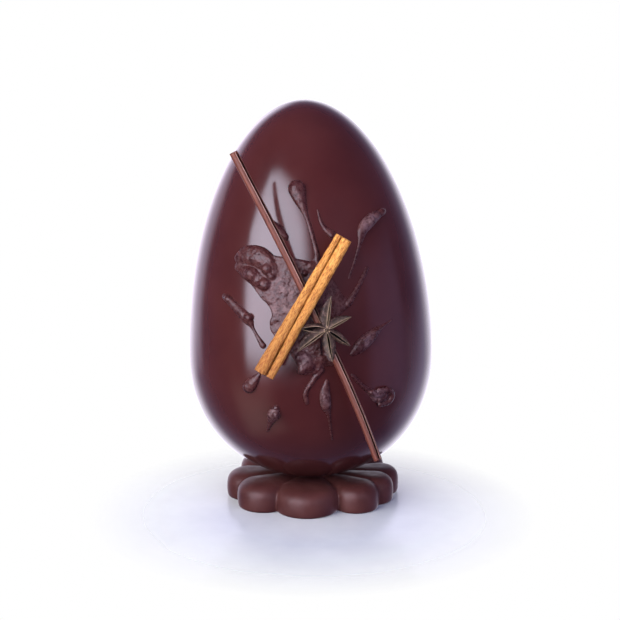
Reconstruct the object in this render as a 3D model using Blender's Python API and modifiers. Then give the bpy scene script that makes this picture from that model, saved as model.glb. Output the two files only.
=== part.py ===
"""A chocolate egg standing on a moulded chocolate flower.

Its front is dressed with a splash of chocolate and the drops round it, a rolled
chocolate stick, a cinnamon quill and a star anise.

Frame: +Z up, the dressed front faces -Y, and the origin is the middle of the
flower's flat underside. Sizes are in metres.

Everything on the egg is laid out in the egg's own front view: "across" runs to
the right from the egg's axis, "up" runs along that axis from the egg's foot, and
"lift" stands straight out of the shell.
"""

import math

import bmesh
import bpy
from mathutils import Matrix, Vector

MM = 0.001
GAP = 0.3 * MM  # left between neighbouring pieces
WELD = 0.01 * MM  # corners nearer than this are one
SHARP_ANGLE = math.radians(50)  # edges that turn more than this are shaded sharp

# The egg: a turned shell whose lower and upper halves are fuller than an ellipse.
EGG_HEIGHT = 198 * MM
EGG_RADIUS = 63.5 * MM
EGG_WIDEST = 67 * MM  # height of the widest ring above the egg's foot
LOWER_FULLNESS = 2.13
UPPER_FULLNESS = 1.92
EGG_FOOT = Vector((0.7 * MM, 0, 12.2 * MM))
EGG_LEAN = math.radians(1.6)  # the top leans to the left
EGG_STEPS = 44
EGG_RINGS = 12  # on each half

# The flower: fat petals, run together, round a hub that the egg sits in.
FLOWER_HEIGHT = 14 * MM
HUB_HEIGHT = 12.5 * MM
HUB_RADIUS = 14 * MM
PETAL_SHOULDER = 6.5 * MM
PETAL_FOOT = 0.9 * MM
PETAL_STEPS = 16
TAIL_WIDTH = 0.42  # width of a petal's inner tip, against its round end
# One petal a row: degrees from the front to the right, distance of its round end's
# middle from the hub, and that end's radius.
PETALS = (
    (-6, 28 * MM, 16.8 * MM),
    (42, 33.6 * MM, 12 * MM),
    (67, 34.5 * MM, 10.5 * MM),
    (90, 35.2 * MM, 10.1 * MM),
    (128, 33 * MM, 12 * MM),
    (163, 31 * MM, 13 * MM),
    (-162, 31 * MM, 13.5 * MM),
    (-128, 30 * MM, 14.5 * MM),
    (-80, 33 * MM, 12.4 * MM),
    (-49, 33.5 * MM, 13.8 * MM),
)

# The splash: flat pools under the sticks, as (across, up, half length, half width,
# height, turn in degrees from upright, clockwise).
POOLS = (
    (-10, 120, 13, 10, 2.6, 115),
    (-26, 123.5, 8.5, 6, 3.2, 110),
    (-1, 121, 12, 8, 2.2, 100),
    (-12, 103, 13, 8, 2.2, -10),
    (-20, 110.5, 7, 4.5, 2.2, -42),
    (-14.5, 93.5, 6, 4.6, 2.2, -50),
    (5, 108, 18, 13, 2.4, -35),
    (6, 91, 16, 9, 2.4, 0),
    (1, 83, 10, 9, 2.8, 30),
)
POOL_SEGMENTS = 14
POOL_RINGS = 6
# Ridges, knobs and runs that stand on the pools, each a list of
# (across, up, half width) along its middle.
RIDGES = {
    "head_ridge": (
        (-32, 127, 3.8),
        (-26, 130, 5.2),
        (-19.5, 128, 5),
        (-16, 122.5, 3.6),
        (-16.5, 118, 2.4),
    ),
    "foot_ridge": ((-32.5, 121.8, 3), (-26, 118.8, 4), (-21.5, 115, 3.6), (-18.5, 111.5, 2.6)),
    "top_ridge": ((-8, 128.4, 1.8), (-2, 126.6, 2.4), (4, 125.4, 2.2)),
    "low_lump": ((-5, 81, 4), (-1.5, 77.6, 5.4), (4, 77.5, 3.8)),
    "small_lump": ((9, 82, 1.6), (10.8, 79, 2.4), (14, 77.5, 1.8)),
    "long_drop": (
        (-4, 161.5, 4.4),
        (-2.6, 157, 3.2),
        (0, 150, 1.3),
        (2.2, 143, 1.1),
        (4.7, 133, 1.2),
        (5.5, 124, 2),
    ),
    "thin_run": ((29.8, 122, 0.9), (25.5, 114.5, 1.1), (20, 106, 1.6)),
    "hook": ((5.5, 74, 1.8), (0.5, 67.5, 1.3), (-2.5, 62, 1.3), (-2, 57, 1)),
}
# Drops that lie apart, thrown outward from the splash.
DROPS = {
    "drop_thorn": ((6.2, 152, 0.6), (9, 145.5, 1.1), (12.5, 140, 1.8)),
    "drop_right_high": (
        (37, 146, 1.9),
        (32, 144, 3.2),
        (27.5, 140, 2.4),
        (26.5, 134, 1.1),
        (24, 127, 0.8),
        (20.6, 118.5, 0.7),
    ),
    "drop_right_leaf": ((41.4, 93.8, 0.7), (36, 91.4, 1.4), (28.5, 86.6, 3.3), (22.5, 82, 2.2)),
    "drop_right_low": (
        (21.5, 69.5, 0.8),
        (26, 63.5, 1),
        (30.5, 59, 2.2),
        (34.5, 56.6, 4),
        (37.5, 55.2, 3.8),
    ),
    "drop_low_leaf": ((8.3, 68, 1), (7.2, 61.5, 2.6), (8, 54, 2.4), (9, 49, 1.1), (10, 35, 0.8)),
    "drop_low_left": ((-17.6, 53.5, 1.8), (-18.8, 50, 3.2), (-20.5, 45.5, 1.6), (-22.3, 40, 0.7)),
    "drop_left_low": ((-31, 63.5, 3), (-28.6, 66.8, 2.7), (-25.4, 71, 1)),
    "drop_left_long": (
        (-41, 107.5, 1.9),
        (-36, 103.5, 2.2),
        (-30.5, 98.5, 2.7),
        (-28, 94.5, 0.9),
        (-25.8, 90.5, 0.9),
        (-23, 86, 1.6),
    ),
    "drop_fin": ((-15.6, 146.2, 1.4), (-12.6, 143.2, 2.2), (-9.2, 139.8, 1.5)),
}
RUN_FLATNESS = 0.8  # height of a ridge or drop against its half width
RUN_SAMPLES = 4  # between two points of a run
RUN_END = 0.3 * MM  # radius that a run's round ends close to
RUN_CAP = 0.7  # where a round end's middle ring stands and its size, against the radius

# The rolled chocolate stick, as (across, y, up) along its middle.
STICK_ROUTE = (
    (-34.5, -54, 184),
    (-10.4, -61, 134),
    (13.4, -68.6, 80.5),
    (24.5, -72.5, 53.5),
    (32.7, -75.7, 30.2),
)
STICK_RADIUS = 2.3 * MM
STICK_WALL = 0.9 * MM
STICK_SLOT = math.radians(34)
STICK_TILT = math.radians(-52)  # turns the slot to the stick's right side
STICK_OUTER_STEPS = 12
STICK_INNER_STEPS = 7
STICK_SAMPLES = 3

# The cinnamon quill: bark rolled in from both edges, tapering to its high end.
QUILL_LOW_END = Vector((-22.6, -75.4, 76.3)) * MM
QUILL_HIGH_END = Vector((18.6, -63.8, 141.7)) * MM
QUILL_FACING = Vector((0.06, -0.98, 0.18))
QUILL_ROLL_RADIUS = 2.65 * MM
QUILL_BARK = 0.9 * MM
QUILL_SEAM = 0.5 * MM
QUILL_TURNS = 1.1
QUILL_CURL = 1.25  # how far a whole turn winds inward, in thicknesses of bark
QUILL_TAPER = 0.78  # size of the high end against the low end
QUILL_STEPS = 12

# The star anise: boat-shaped pods round a short column, open mouths outward.
ANISE_CENTRE = Vector((9.1, -73.6, 97.8)) * MM
ANISE_FACING = Vector((0.36, -0.92, 0.14))
ANISE_COLUMN = 1.6 * MM
ANISE_COLUMN_STEPS = 10
# One pod a row: degrees from upright, clockwise, its length and its half width.
PODS = (
    (11, 17.1 * MM, 3 * MM),
    (69, 13.8 * MM, 2.5 * MM),
    (130, 14.6 * MM, 2.4 * MM),
    (176, 16 * MM, 3.2 * MM),
    (-117, 18.7 * MM, 3.1 * MM),
    (-80, 13.8 * MM, 2.8 * MM),
)
POD_DEPTH = 4.4 * MM
POD_TIP_RISE = 1.2 * MM
POD_MOUTH = 0.5  # half width of a pod's mouth, against the pod's own
POD_SLIT = 0.2  # half width of the slit inside the mouth's two lips
POD_SLIT_DEPTH = 0.5  # against the pod's depth
POD_SECTIONS = 7
POD_TIP = 0.12  # size of a pod's ends against its middle


# ---------------------------------------------------------------- scene and looks


def clear_scene():
    """Removes everything that the scene starts with."""
    for thing in list(bpy.data.objects):
        bpy.data.objects.remove(thing, do_unlink=True)


def add_collection(name, hidden=False):
    """A new collection; a hidden one holds cutters and stays out of the render."""
    collection = bpy.data.collections.new(name)
    collection.hide_render = hidden
    bpy.context.scene.collection.children.link(collection)
    return collection


def add_material(name, color, roughness):
    """A Principled material of one colour."""
    material = bpy.data.materials.new(name)
    material.use_nodes = True
    shader = material.node_tree.nodes["Principled BSDF"]
    shader.inputs["Base Color"].default_value = (*color, 1)
    shader.inputs["Roughness"].default_value = roughness
    shader.inputs["Metallic"].default_value = 0
    return material


def add_materials():
    """The finish of each sub-part, by the name of its slot."""
    return {
        "shell_chocolate": add_material("shell_chocolate", (0.055, 0.018, 0.020), 0.22),
        "base_chocolate": add_material("base_chocolate", (0.070, 0.030, 0.029), 0.38),
        "splash_chocolate": add_material("splash_chocolate", (0.060, 0.024, 0.025), 0.30),
        "stick_chocolate": add_material("stick_chocolate", (0.150, 0.055, 0.045), 0.45),
        "cinnamon_bark": add_material("cinnamon_bark", (0.560, 0.250, 0.080), 0.75),
        "anise_pod": add_material("anise_pod", (0.110, 0.070, 0.050), 0.60),
    }


# ---------------------------------------------------------------- mesh helpers


def place(thing, collection, material=None, parent=None):
    """Puts an object in its collection, under its parent and in its finish."""
    collection.objects.link(thing)
    thing.parent = parent
    if material:
        thing.data.materials.clear()
        thing.data.materials.append(material)
    return thing


def mesh_object(name, mesh):
    """An object round a mesh, shaded smooth except across sharp edges."""
    mesh.shade_smooth()
    mesh.set_sharp_from_angle(angle=SHARP_ANGLE)
    return bpy.data.objects.new(name, mesh)


def as_mesh(thing, name):
    """The evaluated mesh of an object outside every collection, with its caps welded."""
    bpy.context.scene.collection.objects.link(thing)
    bpy.context.view_layer.update()
    graph = bpy.context.evaluated_depsgraph_get()
    mesh = bpy.data.meshes.new_from_object(thing.evaluated_get(graph))
    mesh.name = name
    mesh.transform(thing.matrix_world)
    bpy.data.objects.remove(thing, do_unlink=True)
    shape = bmesh.new()
    shape.from_mesh(mesh)
    bmesh.ops.remove_doubles(shape, verts=shape.verts, dist=WELD)
    bmesh.ops.recalc_face_normals(shape, faces=shape.faces)
    shape.to_mesh(mesh)
    shape.free()
    return mesh


def turned(name, profile, steps):
    """An object turned about Z from (radius, height) points, from top to bottom."""
    mesh = bpy.data.meshes.new(name)
    edges = [(i, i + 1) for i in range(len(profile) - 1)]
    mesh.from_pydata([(radius, 0, height) for radius, height in profile], edges, [])
    thing = bpy.data.objects.new(name, mesh)
    screw = thing.modifiers.new("turn", "SCREW")
    screw.steps = steps
    screw.render_steps = steps
    screw.use_merge_vertices = True
    screw.merge_threshold = WELD
    return thing


def loft(name, rings):
    """A closed mesh through rings of equally many points, which run clockwise as seen
    from the last ring, with a flat face on each end."""
    count = len(rings[0])
    points = [point for ring in rings for point in ring]
    faces = [tuple(range(count)), tuple(reversed(range(len(points) - count, len(points))))]
    for lower in range(0, len(points) - count, count):
        for i in range(count):
            j = (i + 1) % count
            faces.append((lower + j, lower + i, lower + count + i, lower + count + j))
    mesh = bpy.data.meshes.new(name)
    mesh.from_pydata(points, [], faces)
    return mesh


def smooth_route(points, samples):
    """Points of a smooth curve through the given vectors, `samples` for each span."""
    ends = [points[0] * 2 - points[1], *points, points[-1] * 2 - points[-2]]
    route = []
    for span in range(len(points) - 1):
        before, start, end, after = ends[span : span + 4]
        for step in range(samples):
            t = step / samples
            bend = before * (2 * t**2 - t - t**3) + after * (t**3 - t**2)
            run = start * (2 - 5 * t**2 + 3 * t**3) + end * (t + 4 * t**2 - 3 * t**3)
            route.append((bend + run) / 2)
    return [*route, points[-1]]


def tube_curve(name, route, radii):
    """A curve object through 3-D points, with one radius factor for each."""
    curve = bpy.data.curves.new(name, "CURVE")
    curve.dimensions = "3D"
    curve.use_fill_caps = True
    spline = curve.splines.new("POLY")
    spline.points.add(len(route) - 1)
    for point, place_at, radius in zip(spline.points, route, radii, strict=True):
        point.co = (*place_at, 1)
        point.radius = radius
    return bpy.data.objects.new(name, curve)


def outline_curve(name, outline):
    """A flat closed curve through 2-D points."""
    curve = bpy.data.curves.new(name, "CURVE")
    curve.dimensions = "2D"
    curve.fill_mode = "BOTH"
    spline = curve.splines.new("POLY")
    spline.points.add(len(outline) - 1)
    for point, (x, y) in zip(spline.points, outline, strict=True):
        point.co = (x, y, 0, 1)
    spline.use_cyclic_u = True
    return bpy.data.objects.new(name, curve)


def aimed(axis, facing, middle):
    """A placement with local Z along an axis and local Y turned to the facing side."""
    z = axis.normalized()
    x = facing.cross(z).normalized()
    return Matrix.Translation(middle) @ Matrix((x, z.cross(x), z)).transposed().to_4x4()


def boolean(thing, operation, other):
    """Joins or cuts an object with another object, or with a whole collection."""
    modifier = thing.modifiers.new(f"{operation.lower()}_{other.name}"[:60], "BOOLEAN")
    modifier.operation = operation
    modifier.solver = "EXACT"
    if isinstance(other, bpy.types.Collection):
        modifier.operand_type = "COLLECTION"
        modifier.collection = other
    else:
        modifier.object = other


def add_cutter(name, mesh, collection, parent=None):
    """A hidden solid that Booleans join to or cut from the parts."""
    cutter = bpy.data.objects.new(name, mesh)
    cutter.display_type = "WIRE"
    cutter.hide_render = True
    return place(cutter, collection, parent=parent)


# ---------------------------------------------------------------- the egg


def shell_radius(up):
    """Radius of the shell at a height above its foot."""
    if up < EGG_WIDEST:
        reach, fullness = (EGG_WIDEST - up) / EGG_WIDEST, LOWER_FULLNESS
    else:
        reach, fullness = (up - EGG_WIDEST) / (EGG_HEIGHT - EGG_WIDEST), UPPER_FULLNESS
    return EGG_RADIUS * max(0, 1 - reach**fullness) ** (1 / fullness)


def shell_profile(grow=0.0):
    """(radius, height) points down the shell's outside, grown outward by `grow`."""
    profile = []
    for step in range(2 * EGG_RINGS + 1):
        angle = math.pi / 2 * (1 - step / EGG_RINGS)
        upper = step < EGG_RINGS
        fullness = UPPER_FULLNESS if upper else LOWER_FULLNESS
        rise = EGG_HEIGHT - EGG_WIDEST if upper else EGG_WIDEST
        radius = (EGG_RADIUS + grow) * max(0, math.cos(angle)) ** (2 / fullness)
        height = (rise + grow) * abs(math.sin(angle)) ** (2 / fullness)
        profile.append((radius, EGG_WIDEST + math.copysign(height, angle)))
    profile[0] = (0, profile[0][1])
    profile[-1] = (0, profile[-1][1])
    return profile


def shell_normal(across, up):
    """Direction straight out of the shell's front."""
    step = 0.1 * MM
    radius = shell_radius(up)
    slope = (shell_radius(up + step) - shell_radius(up - step)) / (2 * step)
    depth = math.sqrt(max(radius**2 - across**2, 0))
    return Vector((across, -depth, -radius * slope)).normalized()


def on_shell(across, up, lift=0.0):
    """The point that stands `lift` off the shell's front, in the egg's frame."""
    depth = math.sqrt(max(shell_radius(up) ** 2 - across**2, 0))
    return Vector((across, -depth, up)) + shell_normal(across, up) * lift


def add_egg_frame(collection):
    """The empty that carries the egg and all that is on it, leaning to the left."""
    frame = bpy.data.objects.new("egg_frame", None)
    frame.location = EGG_FOOT
    frame.rotation_euler = (0, -EGG_LEAN, 0)
    return place(frame, collection)


def add_egg(parts, material, frame):
    """The egg itself."""
    egg = turned("egg", shell_profile(), EGG_STEPS)
    return place(egg, parts, material, frame)


# ---------------------------------------------------------------- the flower base


def petal_profile(radius):
    """(radius, height) points of a petal's round end, from its top down."""
    profile = [(0, FLOWER_HEIGHT)]
    for degrees in (90, 60, 30, 0):
        turn = math.radians(degrees)
        outward = radius - PETAL_SHOULDER * (1 - math.cos(turn))
        profile.append((outward, FLOWER_HEIGHT - PETAL_SHOULDER * (1 - math.sin(turn))))
    return [*profile, (radius, 2 * PETAL_FOOT), (radius - PETAL_FOOT, 0), (0, 0)]


def petal_mesh(degrees, distance, radius):
    """A petal: a round cushion drawn out to a narrow, lower tip at the hub."""
    mesh = as_mesh(turned("petal", petal_profile(radius), PETAL_STEPS), "petal")
    mesh.transform(Matrix.Rotation(math.pi / PETAL_STEPS, 4, "Z"))
    for vertex in mesh.vertices:
        inward = max(0, vertex.co.y) / radius
        vertex.co.x *= 1 - (1 - TAIL_WIDTH) * inward
        vertex.co.z *= 1 - (1 - HUB_HEIGHT / FLOWER_HEIGHT) * inward
        vertex.co.y += inward * (distance - radius)
    outward = Matrix.Translation((0, -distance, 0))
    mesh.transform(Matrix.Rotation(math.radians(degrees), 4, "Z") @ outward)
    return mesh


def add_flower(parts, petal_cutters, material, egg_cutter):
    """The base: petals and hub in one piece, dished to take the egg's foot."""
    hub_profile = [(0, HUB_HEIGHT), (HUB_RADIUS, HUB_HEIGHT), (HUB_RADIUS, 0), (0, 0)]
    hub = as_mesh(turned("hub", hub_profile, 2 * PETAL_STEPS), "flower_base")
    for number, petal in enumerate(PETALS):
        add_cutter(f"petal_{number}", petal_mesh(*petal), petal_cutters)
    base = place(mesh_object("flower_base", hub), parts, material)
    boolean(base, "UNION", petal_cutters)
    boolean(base, "DIFFERENCE", egg_cutter)
    return base


# ---------------------------------------------------------------- the splash


def wrap(mesh):
    """Lays a mesh made flat, as (across, up, lift), round the front of the shell."""
    for vertex in mesh.vertices:
        vertex.co = on_shell(*vertex.co)
    return mesh


def pool_mesh(across, up, half_length, half_width, height, degrees):
    """A flat oval pool on the shell."""
    shape = bmesh.new()
    bmesh.ops.create_uvsphere(
        shape, u_segments=POOL_SEGMENTS, v_segments=POOL_RINGS, radius=MM
    )
    size = Matrix.Diagonal((half_width, half_length, height, 1))
    turn = Matrix.Rotation(-math.radians(degrees), 4, "Z")
    middle = Matrix.Translation((across * MM, up * MM, 0))
    shape.transform(middle @ turn @ size)
    mesh = bpy.data.meshes.new("pool")
    shape.to_mesh(mesh)
    shape.free()
    return wrap(mesh)


def rounded_run(points):
    """Samples along a run and the radius at each, closing in a half round at both ends."""
    knots = [Vector((across, up, half_width)) * MM for across, up, half_width in points]
    samples = smooth_route(knots, RUN_SAMPLES)
    inner = [(sample.xy.to_3d(), sample.z) for sample in samples]
    for end, neighbour in ((0, 1), (-1, -2)):
        tip, radius = inner[end]
        outward = (tip - inner[neighbour][0]).normalized()
        shoulder = RUN_CAP * radius
        cap = [(tip + outward * shoulder, shoulder), (tip + outward * radius, RUN_END)]
        inner = [*reversed(cap), *inner] if end == 0 else [*inner, *cap]
    return inner


def run_mesh(name, points):
    """A ridge or drop: a tapering run of chocolate lying on the shell."""
    samples = rounded_run(points)
    tube = tube_curve(name, [place_at for place_at, _ in samples], [r for _, r in samples])
    tube.data.bevel_depth = 1
    tube.data.bevel_resolution = 2
    mesh = as_mesh(tube, name)
    mesh.transform(Matrix.Diagonal((1, 1, RUN_FLATNESS, 1)))
    return wrap(mesh)


def add_splash(parts, joined, material, frame, neighbours):
    """The splash: pools, ridges and runs in one piece, cut clear of its neighbours."""
    first, *others = POOLS
    splash = mesh_object("splash", pool_mesh(*first))
    for number, pool in enumerate(others):
        add_cutter(f"pool_{number}", pool_mesh(*pool), joined, frame)
    for name, points in RIDGES.items():
        add_cutter(name, run_mesh(name, points), joined, frame)
    place(splash, parts, material, frame)
    boolean(splash, "UNION", joined)
    for neighbour in neighbours:
        boolean(splash, "DIFFERENCE", neighbour)
    return splash


def add_drops(parts, material, frame, neighbours):
    """The drops that lie apart from the splash."""
    for name, points in DROPS.items():
        drop = place(mesh_object(name, run_mesh(name, points)), parts, material, frame)
        for neighbour in neighbours:
            boolean(drop, "DIFFERENCE", neighbour)


# ---------------------------------------------------------------- the chocolate stick


def slotted_section(radius, wall, slot):
    """Outline of a tube's section that is open along one side."""
    outline = []
    rings = ((radius, STICK_OUTER_STEPS, 1), (radius - wall, STICK_INNER_STEPS, -1))
    for ring_radius, steps, direction in rings:
        for step in range(steps + 1):
            turn = math.pi + direction * (math.pi - slot / 2) * (2 * step / steps - 1)
            outline.append((ring_radius * math.cos(turn), ring_radius * math.sin(turn)))
    return outline


def stick_mesh(name, section):
    """The gently bent stick, with the given outline as its section."""
    route = smooth_route([Vector(point) * MM for point in STICK_ROUTE], STICK_SAMPLES)
    stick = tube_curve(name, route, [1] * len(route))
    profile = outline_curve(f"{name}_section", section)
    bpy.context.scene.collection.objects.link(profile)
    stick.data.bevel_mode = "OBJECT"
    stick.data.bevel_object = profile
    for point in stick.data.splines[0].points:
        point.tilt = STICK_TILT
    mesh = as_mesh(stick, name)
    bpy.data.objects.remove(profile, do_unlink=True)
    return mesh


def ring_section(radius, steps):
    """Outline of a solid round rod's section."""
    turns = [math.tau * step / steps for step in range(steps)]
    return [(radius * math.cos(turn), radius * math.sin(turn)) for turn in turns]


def add_stick(parts, cutters, material, frame):
    """The rolled chocolate stick, and the solid round rod that clears it."""
    rolled = slotted_section(STICK_RADIUS, STICK_WALL, STICK_SLOT)
    stick = mesh_object("chocolate_stick", stick_mesh("chocolate_stick", rolled))
    place(stick, parts, material, frame)
    rod = stick_mesh("stick_clearance", ring_section(STICK_RADIUS + GAP, STICK_OUTER_STEPS))
    return add_cutter("stick_clearance", rod, cutters, frame)


# ---------------------------------------------------------------- the cinnamon quill


def quill_section():
    """Outline of bark rolled in from both edges; its seam is on the +Y side."""
    layer = QUILL_ROLL_RADIUS - QUILL_BARK / 2
    seam_curl = QUILL_CURL * QUILL_BARK * 0.75**3
    roll = QUILL_ROLL_RADIUS - seam_curl + QUILL_SEAM / 2
    outside = [Vector((0, -layer - QUILL_BARK / 2))]
    inside = [Vector((0, -layer + QUILL_BARK / 2))]
    for step in range(QUILL_STEPS + 1):
        turns = QUILL_TURNS * step / QUILL_STEPS
        radius = layer - QUILL_CURL * QUILL_BARK * turns**3
        outward = Vector((math.sin(math.tau * turns), -math.cos(math.tau * turns)))
        centre = Vector((roll, 0))
        outside.append(centre + outward * (radius + QUILL_BARK / 2))
        inside.append(centre + outward * (radius - QUILL_BARK / 2))
    half = [*outside, *reversed(inside)]
    mirrored = [Vector((-point.x, point.y)) for point in reversed(half[1:-1])]
    return [*half, *mirrored]


def add_quill(parts, material, frame):
    """The cinnamon quill, lying over the stick."""
    axis = QUILL_HIGH_END - QUILL_LOW_END
    flat = outline_curve("cinnamon_stick", quill_section())
    flat.data.extrude = axis.length / 2
    mesh = as_mesh(flat, "cinnamon_stick")
    for vertex in mesh.vertices:
        along = 0.5 + vertex.co.z / axis.length
        vertex.co.xy *= 1 - (1 - QUILL_TAPER) * along
    quill = place(mesh_object("cinnamon_stick", mesh), parts, material, frame)
    quill.matrix_local = aimed(axis, QUILL_FACING, (QUILL_LOW_END + QUILL_HIGH_END) / 2)


# ---------------------------------------------------------------- the star anise


def pod_mesh(degrees, length, half_width):
    """A boat-shaped pod along +Y, its mouth on the +Z side, turned to its place."""
    rings = []
    for section in range(POD_SECTIONS + 1):
        along = section / POD_SECTIONS
        wide = half_width * max(math.sin(math.pi * along**0.8) ** 0.7, POD_TIP)
        deep = POD_DEPTH * max(math.sin(math.pi * along**0.7) ** 0.8, POD_TIP)
        outline = (
            (POD_MOUTH, 0),
            (POD_SLIT, -0.04),
            (0, -POD_SLIT_DEPTH),
            (-POD_SLIT, -0.04),
            (-POD_MOUTH, 0),
            (-1, -0.5),
            (0, -1),
            (1, -0.5),
        )
        rise = POD_TIP_RISE * along**2
        rings.append([(x * wide, along * length, rise + z * deep) for x, z in outline])
    mesh = loft("pod", rings)
    mesh.transform(Matrix.Rotation(-math.radians(degrees), 4, "Z"))
    return mesh


def add_anise(parts, pod_cutters, material, frame):
    """The star anise: column and pods in one piece."""
    foot = -POD_DEPTH / 2
    profile = [(0, 0.6 * MM), (ANISE_COLUMN, 0), (ANISE_COLUMN, foot), (0, foot)]
    column = as_mesh(turned("column", profile, ANISE_COLUMN_STEPS), "star_anise")
    star = mesh_object("star_anise", column)
    placement = aimed(ANISE_FACING, Vector((0, 0, 1)), ANISE_CENTRE)
    for number, pod in enumerate(PODS):
        cutter = add_cutter(f"pod_{number}", pod_mesh(*pod), pod_cutters, frame)
        cutter.matrix_local = placement
    place(star, parts, material, frame)
    star.matrix_local = placement
    boolean(star, "UNION", pod_cutters)


def main():
    """Builds the part, each sub-part in turn."""
    clear_scene()
    materials = add_materials()
    parts = add_collection("chocolate_egg")
    cutters = add_collection("cutters", hidden=True)
    petal_cutters = add_collection("petals_joined", hidden=True)
    joined = add_collection("splash_joined", hidden=True)
    pod_cutters = add_collection("pods_joined", hidden=True)
    frame = add_egg_frame(parts)
    add_egg(parts, materials["shell_chocolate"], frame)
    shell = as_mesh(turned("egg_clearance", shell_profile(GAP), EGG_STEPS), "egg_clearance")
    egg_cutter = add_cutter("egg_clearance", shell, cutters, frame)
    add_flower(parts, petal_cutters, materials["base_chocolate"], egg_cutter)
    stick_cutter = add_stick(parts, cutters, materials["stick_chocolate"], frame)
    neighbours = (egg_cutter, stick_cutter)
    add_splash(parts, joined, materials["splash_chocolate"], frame, neighbours)
    add_drops(parts, materials["splash_chocolate"], frame, neighbours)
    add_quill(parts, materials["cinnamon_bark"], frame)
    add_anise(parts, pod_cutters, materials["anise_pod"], frame)


main()
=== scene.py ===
"""The looks of a chocolate egg that stands on a moulded chocolate flower.

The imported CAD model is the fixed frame. Each of its nodes is stood for by a piece in the
same place, with its shape and a finer surface: the polished shell, the satin flower, the
poured splash and its drops, the rolled chocolate stick, the cinnamon quill and the star
anise. A small studio of a pale floor, light panels and a camera is built round them.

Sizes are in metres, +Z is up, +X is to the right and the dressed front faces -Y. What lies
on the egg is laid out in the egg's own front view: "across" runs to the right from the
egg's axis, "up" runs along that axis from the egg's foot, and "lift" stands straight out of
the shell.
"""

import logging
import math
from collections.abc import Sequence
from dataclasses import dataclass
from enum import Enum

import bmesh
import bpy
import numpy as np
from bpy.types import ID, Material, Mesh, NodeSocket, Object, World, bpy_prop_collection
from mathutils import Matrix, Vector, noise


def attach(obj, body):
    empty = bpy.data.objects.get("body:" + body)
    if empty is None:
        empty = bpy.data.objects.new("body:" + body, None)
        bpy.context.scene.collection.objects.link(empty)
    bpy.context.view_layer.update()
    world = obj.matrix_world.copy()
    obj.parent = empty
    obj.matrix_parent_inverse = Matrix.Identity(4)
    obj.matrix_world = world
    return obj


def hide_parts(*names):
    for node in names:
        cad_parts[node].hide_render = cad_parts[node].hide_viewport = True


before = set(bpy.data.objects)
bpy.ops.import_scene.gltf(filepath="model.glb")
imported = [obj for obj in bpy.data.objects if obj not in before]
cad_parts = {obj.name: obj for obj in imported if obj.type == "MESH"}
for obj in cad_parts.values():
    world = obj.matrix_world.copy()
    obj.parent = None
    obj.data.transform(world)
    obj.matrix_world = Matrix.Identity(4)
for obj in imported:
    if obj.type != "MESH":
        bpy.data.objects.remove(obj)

LOG = logging.getLogger("chocolate_egg")
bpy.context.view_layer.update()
MM = 0.001

Colour = tuple[float, float, float]
Point = tuple[float, ...]
Value = NodeSocket | float | Point


class Slot(Enum):
    """The materials' names, one for each kind of surface."""

    SHELL = "shell_chocolate"
    BASE = "base_chocolate"
    SPLASH = "splash_chocolate"
    STICK = "stick_chocolate"
    CINNAMON = "cinnamon_bark"
    ANISE = "anise_pod"


class Closing(Enum):
    """How the two ends of a lofted mesh are closed."""

    FLAT = "flat"
    FAN = "fan"


# Mesh helpers.


def from_shape(name: str, shape: bmesh.types.BMesh) -> Mesh:
    """Turns a finished shape into a smooth-shaded mesh.

    Args:
        name: The mesh's name.
        shape: The shape, which is used up.

    Returns:
        The mesh.
    """
    mesh = bpy.data.meshes.new(name)
    shape.to_mesh(mesh)
    shape.free()
    mesh.shade_smooth()
    return mesh


def placed(name: str, data: ID) -> Object:
    """Puts a new object in the scene.

    Args:
        name: Its name.
        data: Its mesh, curve or camera.

    Returns:
        The object.
    """
    thing = bpy.data.objects.new(name, data)
    bpy.context.scene.collection.objects.link(thing)
    return thing


def settled(body: Object) -> Mesh:
    """The mesh that an object's curve or modifiers come to.

    Args:
        body: The object, which is used up.

    Returns:
        The mesh.
    """
    graph = bpy.context.evaluated_depsgraph_get()
    mesh = bpy.data.meshes.new_from_object(body.evaluated_get(graph))
    bpy.data.objects.remove(body, do_unlink=True)
    return mesh


def turned(x: np.ndarray, y: np.ndarray, angle: float) -> tuple[np.ndarray, np.ndarray]:
    """Turns the points of a plane round its middle."""
    cos, sin = math.cos(angle), math.sin(angle)
    return x * cos - y * sin, x * sin + y * cos


def new_mesh(name: str, points: np.ndarray, faces: Sequence[Sequence[int]]) -> Mesh:
    """Makes a smooth-shaded mesh whose faces all point outward.

    Args:
        name: The mesh's name.
        points: Its corners, one row each.
        faces: The corners of each face, by row number.

    Returns:
        The mesh.
    """
    mesh = bpy.data.meshes.new(name)
    mesh.from_pydata(points.tolist(), [], faces)
    shape = bmesh.new()
    shape.from_mesh(mesh)
    bmesh.ops.recalc_face_normals(shape, faces=shape.faces)
    shape.to_mesh(mesh)
    shape.free()
    mesh.shade_smooth()
    return mesh


def loft(name: str, rings: np.ndarray, closing: Closing = Closing.FLAT) -> Mesh:
    """Skins a closed mesh over rings of equally many points.

    Args:
        name: The mesh's name.
        rings: Array of (ring, point on the ring, coordinate).
        closing: Whether an end is one flat face or a fan round its middle.

    Returns:
        The mesh.
    """
    count, around = rings.shape[:2]
    points = rings.reshape(-1, 3)
    here = np.arange(around)
    after = np.roll(here, -1)
    faces: list[list[int]] = []
    for ring in range(count - 1):
        low, high = ring * around, (ring + 1) * around
        faces += np.stack([low + here, low + after, high + after, high + here], 1).tolist()
    last = (count - 1) * around
    if closing is Closing.FLAT:
        faces += [here[::-1].tolist(), (last + here).tolist()]
    else:
        points = np.concatenate([points, rings[[0, -1]].mean(1)])
        for start, tip in ((0, len(points) - 2), (last, len(points) - 1)):
            faces += [[start + i, start + j, tip] for i, j in zip(here, after, strict=True)]
    return new_mesh(name, points, faces)


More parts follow.
